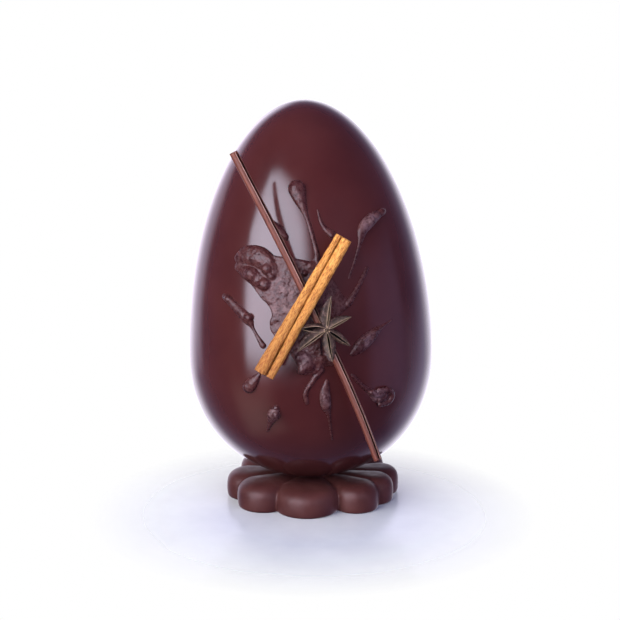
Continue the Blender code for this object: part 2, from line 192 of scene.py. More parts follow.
def revolve(profile: np.ndarray, around: int) -> np.ndarray:
    """Turns an outline round the upright axis.

    Args:
        profile: Rows of (radius, height).
        around: How many points a ring gets.

    Returns:
        The rings for `loft`.
    """
    turns = np.linspace(0, math.tau, around, endpoint=False)
    x, y = profile[:, :1] * np.cos(turns), profile[:, :1] * np.sin(turns)
    return np.stack([x, y, np.broadcast_to(profile[:, 1:], x.shape)], -1)


def vectors_of(items: bpy_prop_collection, name: str) -> np.ndarray:
    """Reads a vector of every item of a mesh.

    Args:
        items: The mesh's corners or their normals.
        name: What the vector is called.

    Returns:
        One row for each item.
    """
    flat = np.empty(len(items) * 3)
    items.foreach_get(name, flat)
    return flat.reshape(-1, 3)


def corners(mesh: Mesh) -> np.ndarray:
    """The mesh's corners, one row each."""
    return vectors_of(mesh.vertices, "co")


def move_corners(mesh: Mesh, points: np.ndarray) -> None:
    """Puts the mesh's corners at new places, one row each."""
    mesh.vertices.foreach_set("co", points.ravel())
    mesh.update()


def outward(mesh: Mesh) -> np.ndarray:
    """The mesh's corner normals, one row each."""
    return vectors_of(mesh.vertex_normals, "vector")


def store(mesh: Mesh, name: str, values: np.ndarray) -> None:
    """Keeps one number for each corner, which a finish can read by its name."""
    attribute = mesh.attributes.new(name, "FLOAT", "POINT")
    attribute.data.foreach_set("value", values.astype(np.float32))


def ripple(points: np.ndarray, size: float | Point, octaves: int = 3) -> np.ndarray:
    """Repeatable noise between about -1 and 1, with bumps of about `size`, at each point."""
    scaled = points / np.array(size)
    return np.array([noise.fractal(Vector(p), 0.9, 2.1, octaves) for p in scaled.tolist()])


def smooth_path(knots: np.ndarray, samples: int, closed: bool = False) -> np.ndarray:
    """Rows along a smooth curve through the given rows.

    Args:
        knots: The rows that the curve passes through.
        samples: Steps between two of them.
        closed: Whether the curve runs back to its start.

    Returns:
        The curve's rows, with its last knot only where it is open.
    """
    if closed:
        ends = np.concatenate([knots[-1:], knots, knots[:2]])
    else:
        ends = np.concatenate([[2 * knots[0] - knots[1]], knots, [2 * knots[-1] - knots[-2]]])
    t = (np.arange(samples) / samples)[:, None]
    from_start, from_end = 2 - 5 * t**2 + 3 * t**3, t + 4 * t**2 - 3 * t**3
    rows = []
    for before, start, end, after in zip(ends, ends[1:], ends[2:], ends[3:], strict=False):
        bend = before * (2 * t**2 - t - t**3) + after * (t**3 - t**2)
        rows.append((bend + start * from_start + end * from_end) / 2)
    curve = np.concatenate(rows)
    return curve if closed else np.concatenate([curve, knots[-1:]])


def unit(vectors: np.ndarray) -> np.ndarray:
    """The vectors, each at length 1."""
    return vectors / np.linalg.norm(vectors, axis=-1, keepdims=True)


def sweep(route: np.ndarray, sections: np.ndarray, facing: Point) -> np.ndarray:
    """Carries flat sections along a route that runs upward.

    Args:
        route: Points along the middle.
        sections: For each of them, rows of (to the right, to the facing side).
        facing: The direction that a section's second coordinate turns to.

    Returns:
        The rings for `loft`.
    """
    along = unit(np.gradient(route, axis=0))
    towards = np.array(facing) - along * (along @ np.array(facing))[:, None]
    towards = unit(towards)
    right = np.cross(along, towards)
    return (
        route[:, None]
        + sections[..., :1] * right[:, None]
        + sections[..., 1:] * towards[:, None]
    )


def aimed(axis: Point, facing: Point, middle: Point) -> Matrix:
    """A placement with local Z along an axis and local Y turned to the facing side.

    Args:
        axis: Direction of local Z.
        facing: Direction that local Y turns to.
        middle: Place of the origin.

    Returns:
        The placement.
    """
    z = Vector(axis).normalized()
    x = Vector(facing).cross(z).normalized()
    return Matrix.Translation(middle) @ Matrix((x, z.cross(x), z)).transposed().to_4x4()


def fuse(name: str, parts: Sequence[Mesh], grain: float, softening: int) -> Mesh:
    """Runs overlapping closed meshes together into one skin, as melted chocolate does.

    Args:
        name: The new mesh's name.
        parts: The meshes, which are used up.
        grain: Spacing of the new skin's corners.
        softening: Rounds of smoothing.

    Returns:
        The skin.
    """
    shape = bmesh.new()
    for part in parts:
        shape.from_mesh(part)
        bpy.data.meshes.remove(part)
    body = placed(name, from_shape(name, shape))
    skin = body.modifiers.new("skin", "REMESH")
    skin.mode = "VOXEL"
    skin.voxel_size = grain
    soften = body.modifiers.new("soften", "SMOOTH")
    soften.factor = 0.5
    soften.iterations = softening
    mesh = settled(body)
    mesh.shade_smooth()
    return mesh


def hand_in(
    name: str, mesh: Mesh, node: str, material: Material, along: Point | None = None
) -> Object:
    """Fits a finished piece in the frame, in place of a CAD node.

    Args:
        name: The piece's name.
        mesh: Its mesh, in world coordinates.
        node: The CAD node that it stands for.
        material: Its finish.
        along: The direction that its grain runs in, where it has a grain.

    Returns:
        The piece.
    """
    piece = placed(name, mesh)
    if along:
        placement = aimed(along, (0, -1, 0), corners(mesh).mean(0).tolist())
        mesh.transform(placement.inverted())
        piece.matrix_world = placement
    mesh.materials.clear()
    mesh.materials.append(material)
    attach(piece, "root")
    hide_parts(node)
    LOG.info("%s: %d faces, stands for %s", name, len(mesh.polygons), node)
    return piece


# Finishes.


class Graph:
    """The nodes of a material or of the room, with a short call for each kind."""

    def __init__(self, owner: Material | World) -> None:
        """Turns the nodes on.

        Args:
            owner: The material or the room.
        """
        owner.use_nodes = True
        self.owner = owner
        self.nodes = owner.node_tree.nodes
        self.shader = self.nodes.get("Principled BSDF")

    def feed(self, socket: NodeSocket, value: Value) -> None:
        """Sets an input.

        Args:
            socket: The input.
            value: Another node's output, or a number, vector or colour of its own.
        """
        if isinstance(value, NodeSocket):
            self.owner.node_tree.links.new(value, socket)
        else:
            socket.default_value = (*value, 1) if socket.type == "RGBA" else value

    def add(
        self, kind: str, output: str | int, inputs: dict[str | int, Value], **settings: str
    ) -> NodeSocket:
        """Adds a node.

        Args:
            kind: Its kind, without "ShaderNode".
            output: Which of its outputs is wanted.
            inputs: What its inputs get.
            **settings: Its own settings.

        Returns:
            The output.
        """
        node = self.nodes.new(f"ShaderNode{kind}")
        for setting, choice in settings.items():
            setattr(node, setting, choice)
        for name, value in inputs.items():
            self.feed(node.inputs[name], value)
        return node.outputs[output]

    def place(self, stretch: Point = (1, 1, 1)) -> NodeSocket:
        """The piece's own coordinates in metres, scaled by `stretch`."""
        where = self.add("TexCoord", "Object", {})
        return self.add("Mapping", "Vector", {"Vector": where, "Scale": stretch})

    def cloud(
        self, place: NodeSocket, size: float, detail: float = 4, rough: float = 0.55
    ) -> NodeSocket:
        """Noise from 0 to 1, with patches of about `size` and `detail` finer layers."""
        scale = {"Scale": 1 / size, "Detail": detail, "Roughness": rough}
        return self.add("TexNoise", "Fac", {"Vector": place, **scale})

    def kept(self, name: str) -> NodeSocket:
        """A number that the mesh keeps at its corners."""
        return self.add("Attribute", "Fac", {}, attribute_name=name)

    def ramp(self, factor: NodeSocket, stops: Sequence[tuple[float, Colour]]) -> NodeSocket:
        """Turns a number into a colour.

        Args:
            factor: The number.
            stops: (number, colour) pairs from low to high.

        Returns:
            The colour.
        """
        result = self.add("ValToRGB", "Color", {"Fac": factor})
        elements = result.node.color_ramp.elements
        while len(elements) < len(stops):
            elements.new(0.5)
        for element, (position, colour) in zip(elements, stops, strict=True):
            element.position = position
            element.color = (*colour, 1)
        return result

    def mix(self, factor: NodeSocket, low: Value, high: Value) -> NodeSocket:
        """Blends two colours; a factor of 0 gives the first and 1 the second."""
        return self.add("Mix", 2, {"Factor": factor, 6: low, 7: high}, data_type="RGBA")

    def level(
        self, factor: NodeSocket, low: float, high: float, start: float = 0.0, end: float = 1.0
    ) -> NodeSocket:
        """Spreads a number, from `start` to `end`, over the range from `low` to `high`."""
        span = {"From Min": start, "From Max": end, "To Min": low, "To Max": high}
        return self.add("MapRange", "Result", {"Value": factor, **span})

    def bump(
        self, height: NodeSocket, distance: float, under: NodeSocket | None = None
    ) -> NodeSocket:
        """Relief that is too fine for the mesh, `distance` deep, over a coarser one."""
        coarse = {"Normal": under} if under else {}
        return self.add("Bump", "Normal", {"Distance": distance, "Height": height, **coarse})

    def finish(
        self, colour: NodeSocket, roughness: NodeSocket, normal: NodeSocket, gloss: float = 0.5
    ) -> Material:
        """Wires the shader.

        Args:
            colour: The surface's colour.
            roughness: Its roughness.
            normal: Its relief.
            gloss: How strongly it mirrors.

        Returns:
            The material.
        """
        inputs = self.shader.inputs
        inputs["Specular IOR Level"].default_value = gloss
        self.feed(inputs["Base Color"], colour)
        self.feed(inputs["Roughness"], roughness)
        self.feed(inputs["Normal"], normal)
        return self.owner


def new_material(name: str) -> Graph:
    """Starts a material."""
    return Graph(bpy.data.materials.new(name))


@dataclass(frozen=True)
class MouldedChocolate:
    """Moulded dark chocolate: two tones in patches, an uneven gloss and two kinds of relief.

    `patches`, `sheen`, `waves` and `grain` are noise, as (size, finer layers). The roughness
    runs over `roughness`, and the relief's depths are `wave_depth` and `grain_depth`.
    """

    slot: Slot
    dark: Colour
    light: Colour
    patches: Point
    sheen: Point
    roughness: Point
    waves: Point
    wave_depth: float
    grain: Point
    grain_depth: float
    ior: float = 1.5
    gloss: float = 0.5

    def material(self) -> Material:
        """Builds the finish.

        Returns:
            The material.
        """
        graph = new_material(self.slot.value)
        place = graph.place()
        tones = [(0.3, self.dark), (0.7, self.light)]
        colour = graph.ramp(graph.cloud(place, *self.patches), tones)
        roughness = graph.level(graph.cloud(place, *self.sheen), *self.roughness, 0.3, 0.7)
        waves = graph.bump(graph.cloud(place, *self.waves), self.wave_depth)
        normal = graph.bump(graph.cloud(place, *self.grain), self.grain_depth, under=waves)
        graph.shader.inputs["IOR"].default_value = self.ior
        return graph.finish(colour, roughness, normal, self.gloss)


POLISHED = MouldedChocolate(
    Slot.SHELL, dark=(0.048, 0.0102, 0.0108), light=(0.062, 0.0145, 0.0142),
    patches=(30 * MM, 3), sheen=(12 * MM, 4), roughness=(0.12, 0.18), ior=1.47,
    waves=(14 * MM, 1), wave_depth=0.03 * MM, grain=(1.2 * MM, 3), grain_depth=0.004 * MM,
)
SATIN = MouldedChocolate(
    Slot.BASE, dark=(0.046, 0.0125, 0.0125), light=(0.078, 0.026, 0.024),
    patches=(14 * MM, 4), sheen=(5 * MM, 4), roughness=(0.34, 0.50), gloss=0.20,
    waves=(4 * MM, 3), wave_depth=0.10 * MM, grain=(0.6 * MM, 2), grain_depth=0.012 * MM,
)


@dataclass(frozen=True)
class PouredChocolate:
    """Set poured chocolate: glossy where it is thick, dull and crusty where it is thin.

    Its patches, spots and reliefs are noise, as (size, finer layers, roughness).
    """

    dark: Colour = (0.040, 0.010, 0.011)
    light: Colour = (0.078, 0.025, 0.024)
    crust: Colour = (0.158, 0.086, 0.090)
    patches: Point = (3 * MM, 5, 0.6)
    spots: Point = (1.5 * MM, 4)
    coarse: Point = (1.8 * MM, 5, 0.6)
    coarse_depth: float = 0.34 * MM
    fine: Point = (0.5 * MM, 3)
    fine_depth: float = 0.03 * MM
    gloss: float = 0.24

    def material(self) -> Material:
        """Builds the finish of the splash and the drops.

        Returns:
            The material.
        """
        graph = new_material(Slot.SPLASH.value)
        place = graph.place()
        patches = graph.cloud(place, *self.patches)
        crust = graph.kept("crust")
        smooth = graph.ramp(patches, [(0.35, self.dark), (0.7, self.light)])
        dusty = graph.ramp(patches, [(0.40, self.dark), (0.62, self.crust)])
        colour = graph.mix(crust, smooth, dusty)
        glossy = graph.level(graph.cloud(place, *self.spots), 0.16, 0.42, 0.35, 0.65)
        dull = graph.level(crust, 0.0, 0.12)
        coarse = graph.bump(graph.cloud(place, *self.coarse), self.coarse_depth)
        normal = graph.bump(graph.cloud(place, *self.fine), self.fine_depth, under=coarse)
        roughness = graph.add("Math", "Value", {0: glossy, 1: dull}, operation="ADD")
        return graph.finish(colour, roughness, normal, self.gloss)


@dataclass(frozen=True)
class RolledChocolate:
    """A thin sheet of chocolate rolled tight, drawn out in fine long streaks."""

    dark: Colour = (0.064, 0.013, 0.008)
    light: Colour = (0.172, 0.047, 0.026)
    # Colour of the painted highlight along the rolled sheet's lip edges.
    edge: Colour = (0.600, 0.360, 0.280)
    length_to_width: float = 22
    streaks: Point = (0.8 * MM, 5, 0.65)
    streak_depth: float = 0.12 * MM
    grain: Point = (0.35 * MM, 3)
    grain_depth: float = 0.02 * MM
    gloss: float = 0.3

    def material(self) -> Material:
        """Builds the finish of the chocolate stick.

        Returns:
            The material.
        """
        graph = new_material(Slot.STICK.value)
        place = graph.place((1, 1, 1 / self.length_to_width))
        streaks = graph.cloud(place, *self.streaks)
        streaked = graph.ramp(streaks, [(0.34, self.dark), (0.64, self.light)])
        shaded = graph.mix(graph.kept("shade"), streaked, self.dark)
        # The pale edge colour along the lips is a painted highlight; the shade attribute is painted
        # shade.
        colour = graph.mix(graph.kept("wear_and_painted_highlight"), shaded, self.edge)
        roughness = graph.level(graph.cloud(place, 1.5 * MM, 2), 0.36, 0.52, 0.3, 0.7)
        coarse = graph.bump(streaks, self.streak_depth)
        fine = graph.cloud(graph.place(), *self.grain)
        normal = graph.bump(fine, self.grain_depth, under=coarse)
        return graph.finish(colour, roughness, normal, self.gloss)


@dataclass(frozen=True)
class CinnamonBark:
    """Dry golden bark with a fine long grain, mottled brown."""

    pale: Colour = (0.830, 0.440, 0.118)
    golden: Colour = (0.540, 0.205, 0.038)
    brown: Colour = (0.185, 0.050, 0.012)
    length_to_width: float = 5
    fibres: Point = (0.48 * MM, 5, 0.7)
    fibre_depth: float = 0.25 * MM
    mottling: Point = (2.6 * MM, 4, 0.6)
    grain: Point = (0.45 * MM, 3)
    grain_depth: float = 0.12 * MM
    gloss: float = 0.15

    def material(self) -> Material:
        """Builds the finish of the quill.

        Returns:
            The material.
        """
        graph = new_material(Slot.CINNAMON.value)
        along = graph.place((1, 1, 1 / self.length_to_width))
        fibres = graph.cloud(along, *self.fibres)
        mottle = graph.cloud(graph.place((1, 1, 0.35)), *self.mottling)
        wood = graph.ramp(fibres, [(0.39, self.brown), (0.47, self.golden), (0.58, self.pale)])
        wear_and_painted_highlight = graph.ramp(mottle, [(0.38, self.brown), (0.50, self.golden), (0.62, self.pale)])
        mottled = graph.mix(graph.level(mottle, 0.1, 0.45, 0.3, 0.7), wood, wear_and_painted_highlight)
        colour = graph.mix(graph.kept("aged"), mottled, self.brown)
        roughness = graph.level(fibres, 0.62, 0.85, 0.3, 0.7)
        coarse = graph.bump(fibres, self.fibre_depth)
        fine = graph.cloud(graph.place(), *self.grain)
        normal = graph.bump(fine, self.grain_depth, under=coarse)
        return graph.finish(colour, roughness, normal, self.gloss)


@dataclass(frozen=True)
class AnisePod:
    """Dry, wrinkled seed pods, olive brown, with pale lips that carry painted highlight."""

    # The darkest skin patches, and in the slit painted shade in the groove between the lips.
    deep: Colour = (0.008, 0.005, 0.004)
    brown: Colour = (0.026, 0.013, 0.010)
    dusty: Colour = (0.110, 0.060, 0.050)
    # The pod's paler rim, with a painted highlight along each lip's crest.
    lip: Colour = (0.500, 0.345, 0.225)
    patches: Point = (1.6 * MM, 5, 0.65)
    wrinkles: Point = (0.9 * MM, 4, 0.6)
    wrinkle_depth: float = 0.25 * MM
    grain: Point = (0.3 * MM, 2)
    grain_depth: float = 0.03 * MM
    gloss: float = 0.2

    def material(self) -> Material:
        """Builds the finish of the star anise.

        Returns:
            The material.
        """
        graph = new_material(Slot.ANISE.value)
        place = graph.place()
        patches = graph.cloud(place, *self.patches)
        skin = graph.ramp(patches, [(0.36, self.deep), (0.5, self.brown), (0.64, self.dusty)])
        # Pale lips: partly the pod's paler rim, partly painted highlight along the crests.
        lipped = graph.mix(graph.kept("lip"), skin, self.lip)
        # The slit is painted near-black: painted shade in the groove between the lips.
        colour = graph.mix(graph.kept("slit"), lipped, self.deep)
        roughness = graph.level(patches, 0.36, 0.62, 0.3, 0.7)
        coarse = graph.bump(graph.cloud(place, *self.wrinkles), self.wrinkle_depth)
        normal = graph.bump(graph.cloud(place, *self.grain), self.grain_depth, under=coarse)
        return graph.finish(colour, roughness, normal, self.gloss)


# The egg.


@dataclass(frozen=True)
class EggShape:
    """The egg's outer surface and its own frame.

    The shell is two half superellipses, below and above the `widest` ring; a fullness of 2 would
    be an ellipse. Its foot stands at `foot`, and its top leans to the left by `lean`.
    """

    height: float = 198 * MM
    radius: float = 63.5 * MM
    widest: float = 67 * MM
    lower_fullness: float = 2.13
    upper_fullness: float = 1.92
    foot: Point = (0.7 * MM, 0, 12.2 * MM)
    lean: float = math.radians(1.6)

    def radius_at(self, up: np.ndarray) -> np.ndarray:
        """Radius of the shell.

        Args:
            up: Heights above its foot.

        Returns:
            The radius at each height.
        """
        lower = up < self.widest
        span = np.where(lower, self.widest, self.height - self.widest)
        fullness = np.where(lower, self.lower_fullness, self.upper_fullness)
        reach = np.clip(np.abs(up - self.widest) / span, 0, 1)
        return self.radius * (1 - reach**fullness) ** (1 / fullness)

    def underside_at(self, distance: np.ndarray) -> np.ndarray:
        """Height of the lower half's surface at distances from the axis."""
        share = np.clip(distance / self.radius, 0, 1) ** self.lower_fullness
        return self.widest * (1 - (1 - share) ** (1 / self.lower_fullness))

    def turn(self) -> np.ndarray:
        """The lean, as a matrix."""
        return np.array(Matrix.Rotation(-self.lean, 3, "Y"))

    def to_world(self, points: np.ndarray) -> np.ndarray:
        """Takes points from the egg's frame to the world."""
        return points @ self.turn().T + np.array(self.foot)

    def from_world(self, points: np.ndarray) -> np.ndarray:
        """Takes points from the world to the egg's frame."""
        return (points - np.array(self.foot)) @ self.turn()

    def wrap(self, flat: np.ndarray) -> np.ndarray:
        """Lays points round the front of the shell.

        Args:
            flat: Rows of (across, up, lift).

        Returns:
            Their places in the world.
        """
        across, up, lift = flat.T
        step = 0.1 * MM
        radius = self.radius_at(up)
        slope = (self.radius_at(up + step) - self.radius_at(up - step)) / (2 * step)
        depth = np.sqrt(np.maximum(radius**2 - across**2, 0))
        normal = unit(np.stack([across, -depth, -radius * slope], 1))
        return self.to_world(np.stack([across, -depth, up], 1) + normal * lift[:, None])


@dataclass
class Egg:
    """The egg itself, from a polished mould.

    It has `around` corners on a ring and `rings` rings on each half. It stays `inset` inside the
    CAD egg's box, and its faint unevenness is `swell` high and `swell_size` wide.
    """

    shape: EggShape
    around: int = 288
    rings: int = 80
    inset: float = 0.09 * MM
    swell: float = 0.05 * MM
    swell_size: float = 26 * MM

    def mesh(self) -> Mesh:
        """Turns the egg's outline about its axis.

        Returns:
            The mesh.
        """
        shape = self.shape
        angles = np.linspace(math.pi / 2, -math.pi / 2, 2 * self.rings + 1)[1:-1]
        upper = angles > 0
        fullness = np.where(upper, shape.upper_fullness, shape.lower_fullness)
        rise = np.where(upper, shape.height - shape.widest, shape.widest) - self.inset
        radius = (shape.radius - self.inset) * np.cos(angles) ** (2 / fullness)
        height = shape.widest + np.sign(angles) * rise * np.abs(np.sin(angles)) ** (2 / fullness)
        rings = revolve(np.stack([radius, height], 1), self.around)
        mesh = loft("egg", shape.to_world(rings), Closing.FAN)
        points = corners(mesh)
        uneven = ripple(points, self.swell_size, 2)
        move_corners(mesh, points - outward(mesh) * (self.swell * (0.5 + 0.5 * uneven))[:, None])
        return mesh


# The flower.


@dataclass
class Flower:
    """The moulded base: fat petals, run together, dished to take the egg's foot.

    A petal is widest at the `waist` and draws in by `tuck` at the floor; a `fullness` of 2 would
    be an ellipse. Its inner tip is `tail_width` as wide as its round end. Each row of `petals`
    gives its degrees from the front to the right, the distance of its round end's middle from
    the hub, and that end's radius. `gap` is the room left round the egg's foot. A petal's
    rings have `around` points and the hub's have `hub_around`, and `grain` and `softening` are
    the spacing of the fused surface's corners and its rounds of smoothing.
    """

    egg: EggShape
    height: float = 14 * MM
    hub_height: float = 12.5 * MM
    hub_radius: float = 14 * MM
    waist: float = 4.5 * MM
    fullness: float = 3.3
    tuck: float = 0.9 * MM
    tail_width: float = 0.42
    gap: float = 0.2 * MM
    around: int = 72
    hub_around: int = 48
    grain: float = 0.5 * MM
    softening: int = 5
    petals: Sequence[Point] = (
        (-6, 28 * MM, 16.8 * MM), (42, 33.6 * MM, 12 * MM), (67, 34.5 * MM, 10.5 * MM),
        (90, 35.2 * MM, 10.1 * MM), (128, 33 * MM, 12 * MM), (163, 31 * MM, 13 * MM),
        (-162, 31 * MM, 13.5 * MM), (-128, 30 * MM, 14.5 * MM), (-80, 33 * MM, 12.4 * MM),
        (-49, 33.5 * MM, 13.8 * MM),
    )

    def profile(self, radius: float) -> np.ndarray:
        """Outline of a petal's round end.

        Args:
            radius: Radius of that end.

        Returns:
            Rows of (radius, height) from the floor up.
        """
        foot = np.linspace(0, math.pi / 2, 6)[:-1]
        reach = radius - self.tuck * (1 - np.sin(foot))
        below = np.stack([reach, self.waist * (1 - np.cos(foot))], 1)
        below = below[np.argsort(below[:, 1])]
        crown = np.linspace(0, math.pi / 2, 22)[:-1]
        above = np.stack(
            [
                radius * np.cos(crown) ** (2 / self.fullness),
                self.waist + (self.height - self.waist) * np.sin(crown) ** (2 / self.fullness),
            ],
            1,
        )
        return np.concatenate([below[:-1], above])

    def petal(self, degrees: float, distance: float, radius: float) -> Mesh:
        """A cushion drawn out to a narrow, lower tip at the hub.

        Args:
            degrees: Its direction from the front to the right.
            distance: How far out its round end's middle lies.
            radius: Radius of that end.

        Returns:
            The petal's mesh.
        """
        x, y, z = np.moveaxis(revolve(self.profile(radius), self.around), -1, 0)
        inward = np.maximum(y, 0) / radius
        x = x * (1 - (1 - self.tail_width) * inward)
        z = z * (1 - (1 - self.hub_height / self.height) * inward)
        y = y + inward * (distance - radius) - distance
        x, y = turned(x, y, math.radians(degrees))
        return loft("petal", np.stack([x, y, z], -1), Closing.FAN)

    def hub(self) -> Mesh:
        """The round middle that the petals run into."""
        side = np.array([(self.hub_radius, 0), (self.hub_radius, self.hub_height)])
        return loft("hub", revolve(side, self.hub_around))

    def mesh(self) -> Mesh:
        """Fuses the petals and the hub, and presses the egg's foot into them.

        Returns:
            The mesh.
        """
        parts = [self.hub(), *(self.petal(*petal) for petal in self.petals)]
        mesh = fuse("flower_base", parts, self.grain, self.softening)
        points = corners(mesh)
        points[:, 2] = np.maximum(points[:, 2], 0)
        local = self.egg.from_world(points)
        ceiling = self.egg.underside_at(np.hypot(local[:, 0], local[:, 1])) - self.gap
        local[:, 2] = np.minimum(local[:, 2], ceiling)
        move_corners(mesh, self.egg.to_world(local))
        return mesh


# Poured chocolate: corners round a run, steps between its points, its rounded ends in degrees
# off its length, its least half width, and the distance within which a sheet's corners are one.

RUN_CORNERS = 24
RUN_STEPS = 8
RUN_CAP = (90, 70, 50, 30, 15)
THINNEST = 0.02 * MM
WELD = 0.01 * MM


@dataclass(frozen=True)
class Run:
    """A tapering run of poured chocolate that lies on the shell.

    Its `points` are (across, up, half width) in millimetres along its middle, `flatness` is its
    height against its half width, and its middle stands `lift` millimetres off the shell.
    """

    points: Sequence[Point]
    flatness: float = 0.8
    lift: float = 0.0

    def mesh(self, sink: float) -> Mesh:
        """Makes the run, laid out flat.

        Args:
            sink: The depth at which its underside is cut off.

        Returns:
            Its mesh.
        """
        path = smooth_path(np.array(self.points, float) * MM, RUN_STEPS)
        middle, radius = path[:, :2], path[:, 2]
        along = unit(np.gradient(middle, axis=0))
        caps = np.radians(RUN_CAP)
        heads, shares = -np.sin(caps), np.cos(caps)
        start = middle[0] + along[0] * radius[0] * heads[:, None]
        end = middle[-1] - along[-1] * radius[-1] * heads[::-1, None]
        middle = np.concatenate([start, middle, end])
        ends = (len(caps), 1)
        along = np.concatenate([np.tile(along[0], ends), along, np.tile(along[-1], ends)])
        radius = np.concatenate([radius[0] * shares, radius, radius[-1] * shares[::-1]])
        radius = np.maximum(radius, THINNEST)[:, None]
        turns = np.linspace(0, math.tau, RUN_CORNERS, endpoint=False)
        side = np.stack([along[:, 1], -along[:, 0]], 1)
        flat = middle[:, None] + side[:, None] * (radius * np.cos(turns))[..., None]
        height = self.lift * MM + self.flatness * radius * np.sin(turns)
        rings = np.concatenate([flat, np.maximum(height, -sink)[..., None]], -1)
        return loft("run", rings)


@dataclass(frozen=True)
class Knob:
    """A round lump of chocolate; its sizes are in millimetres and `lift` is off the shell."""

    across: float
    up: float
    radius: float
    lift: float = 0.0

    def mesh(self, sink: float) -> Mesh:
        """Makes the knob, laid out flat.

        Args:
            sink: The depth at which its underside is cut off.

        Returns:
            Its mesh.
        """
        shape = bmesh.new()
        bmesh.ops.create_icosphere(shape, subdivisions=3, radius=self.radius * MM)
        mesh = from_shape("knob", shape)
        points = corners(mesh) + np.array((self.across, self.up, self.lift)) * MM
        points[:, 2] = np.maximum(points[:, 2], -sink)
        move_corners(mesh, points)
        return mesh


@dataclass(frozen=True)
class Sheet:
    """A thin sheet of chocolate with a rounded edge, in millimetres across and up."""

    outline: Sequence[Point]
    thickness: float = 1.5

    def mesh(self, sink: float) -> Mesh:
        """Makes the sheet, laid out flat.

        Args:
            sink: The depth of its underside.

        Returns:
            Its mesh.
        """
        outline = smooth_path(np.array(self.outline, float) * MM, 6, closed=True)
        curve = bpy.data.curves.new("sheet", "CURVE")
        curve.dimensions = "2D"
        curve.fill_mode = "BOTH"
        spline = curve.splines.new("POLY")
        spline.points.add(len(outline) - 1)
        for point, (x, y) in zip(spline.points, outline, strict=True):
            point.co = (x, y, 0, 1)
        spline.use_cyclic_u = True
        round_over = 0.45 * self.thickness * MM
        curve.offset = -round_over
        curve.bevel_depth = round_over
        curve.bevel_resolution = 3
        curve.extrude = (self.thickness * MM + sink) / 2 - round_over
        shape = bmesh.new()
        shape.from_mesh(settled(placed("sheet", curve)))
        bmesh.ops.remove_doubles(shape, verts=shape.verts, dist=WELD)
        bmesh.ops.recalc_face_normals(shape, faces=shape.faces)
        shape.transform(Matrix.Translation((0, 0, (self.thickness * MM - sink) / 2)))
        return from_shape("sheet", shape)


@dataclass
class Pour:
    """Poured chocolate of one or more strokes, run together and set on the shell.

    It stands for a CAD `node`. Its surface's corners are `grain` apart, it has `softening` rounds
    of smoothing, and it reaches `sink` into the shell, so that no gap shows. Its coarse lumps are
    `lumps` high and `lump_size` wide. `crusts` are the places that set dull and rough, as
    (across, up, reach) in millimetres, broken into patches of `crust_patch`; that roughness is
    `crust_depth` high and `crust_grain` wide.
    """

    node: str
    strokes: Sequence[Run | Knob | Sheet]
    grain: float = 0.22 * MM
    softening: int = 4
    sink: float = 0.4 * MM
    lumps: float = 0.10 * MM
    lump_size: float = 2.4 * MM
    crusts: Sequence[Point] = ()
    crust_patch: float = 3.4 * MM
    crust_depth: float = 0.15 * MM
    crust_grain: float = 1.0 * MM

    def crust_at(self, flat: np.ndarray) -> np.ndarray:
        """How dull and rough the surface is.

        Args:
            flat: Its corners, laid out flat.

        Returns:
            A number from 0 to 1 for each corner.
        """
        crust = np.zeros(len(flat))
        for across, up, reach in self.crusts:
            distance = np.hypot(flat[:, 0] - across * MM, flat[:, 1] - up * MM) / (reach * MM)
            crust = np.maximum(crust, np.clip(1.6 - 1.6 * distance, 0, 1))
        return crust * np.clip(0.85 + 0.8 * ripple(flat, self.crust_patch, 3), 0, 1)

    def mesh(self, egg: EggShape) -> Mesh:
        """Pours the strokes and wraps them round the egg.

        Args:
            egg: The egg.

        Returns:
            The mesh.
        """
        parts = [stroke.mesh(self.sink) for stroke in self.strokes]
        mesh = fuse(self.node, parts, self.grain, self.softening)
        flat, normals = corners(mesh), outward(mesh)
        crust = self.crust_at(flat)
        above = np.clip((flat[:, 2] - 0.4 * MM) / (0.8 * MM), 0, 1)
        relief = self.lumps * ripple(flat, self.lump_size, 3)
        relief += self.crust_depth * crust * ripple(flat + 7 * MM, self.crust_grain, 4)
        flat = flat + normals * (relief * above)[:, None]
        flat[:, 2] = np.maximum(flat[:, 2], -self.sink)
        move_corners(mesh, egg.wrap(flat))
        store(mesh, "crust", crust)
        return mesh


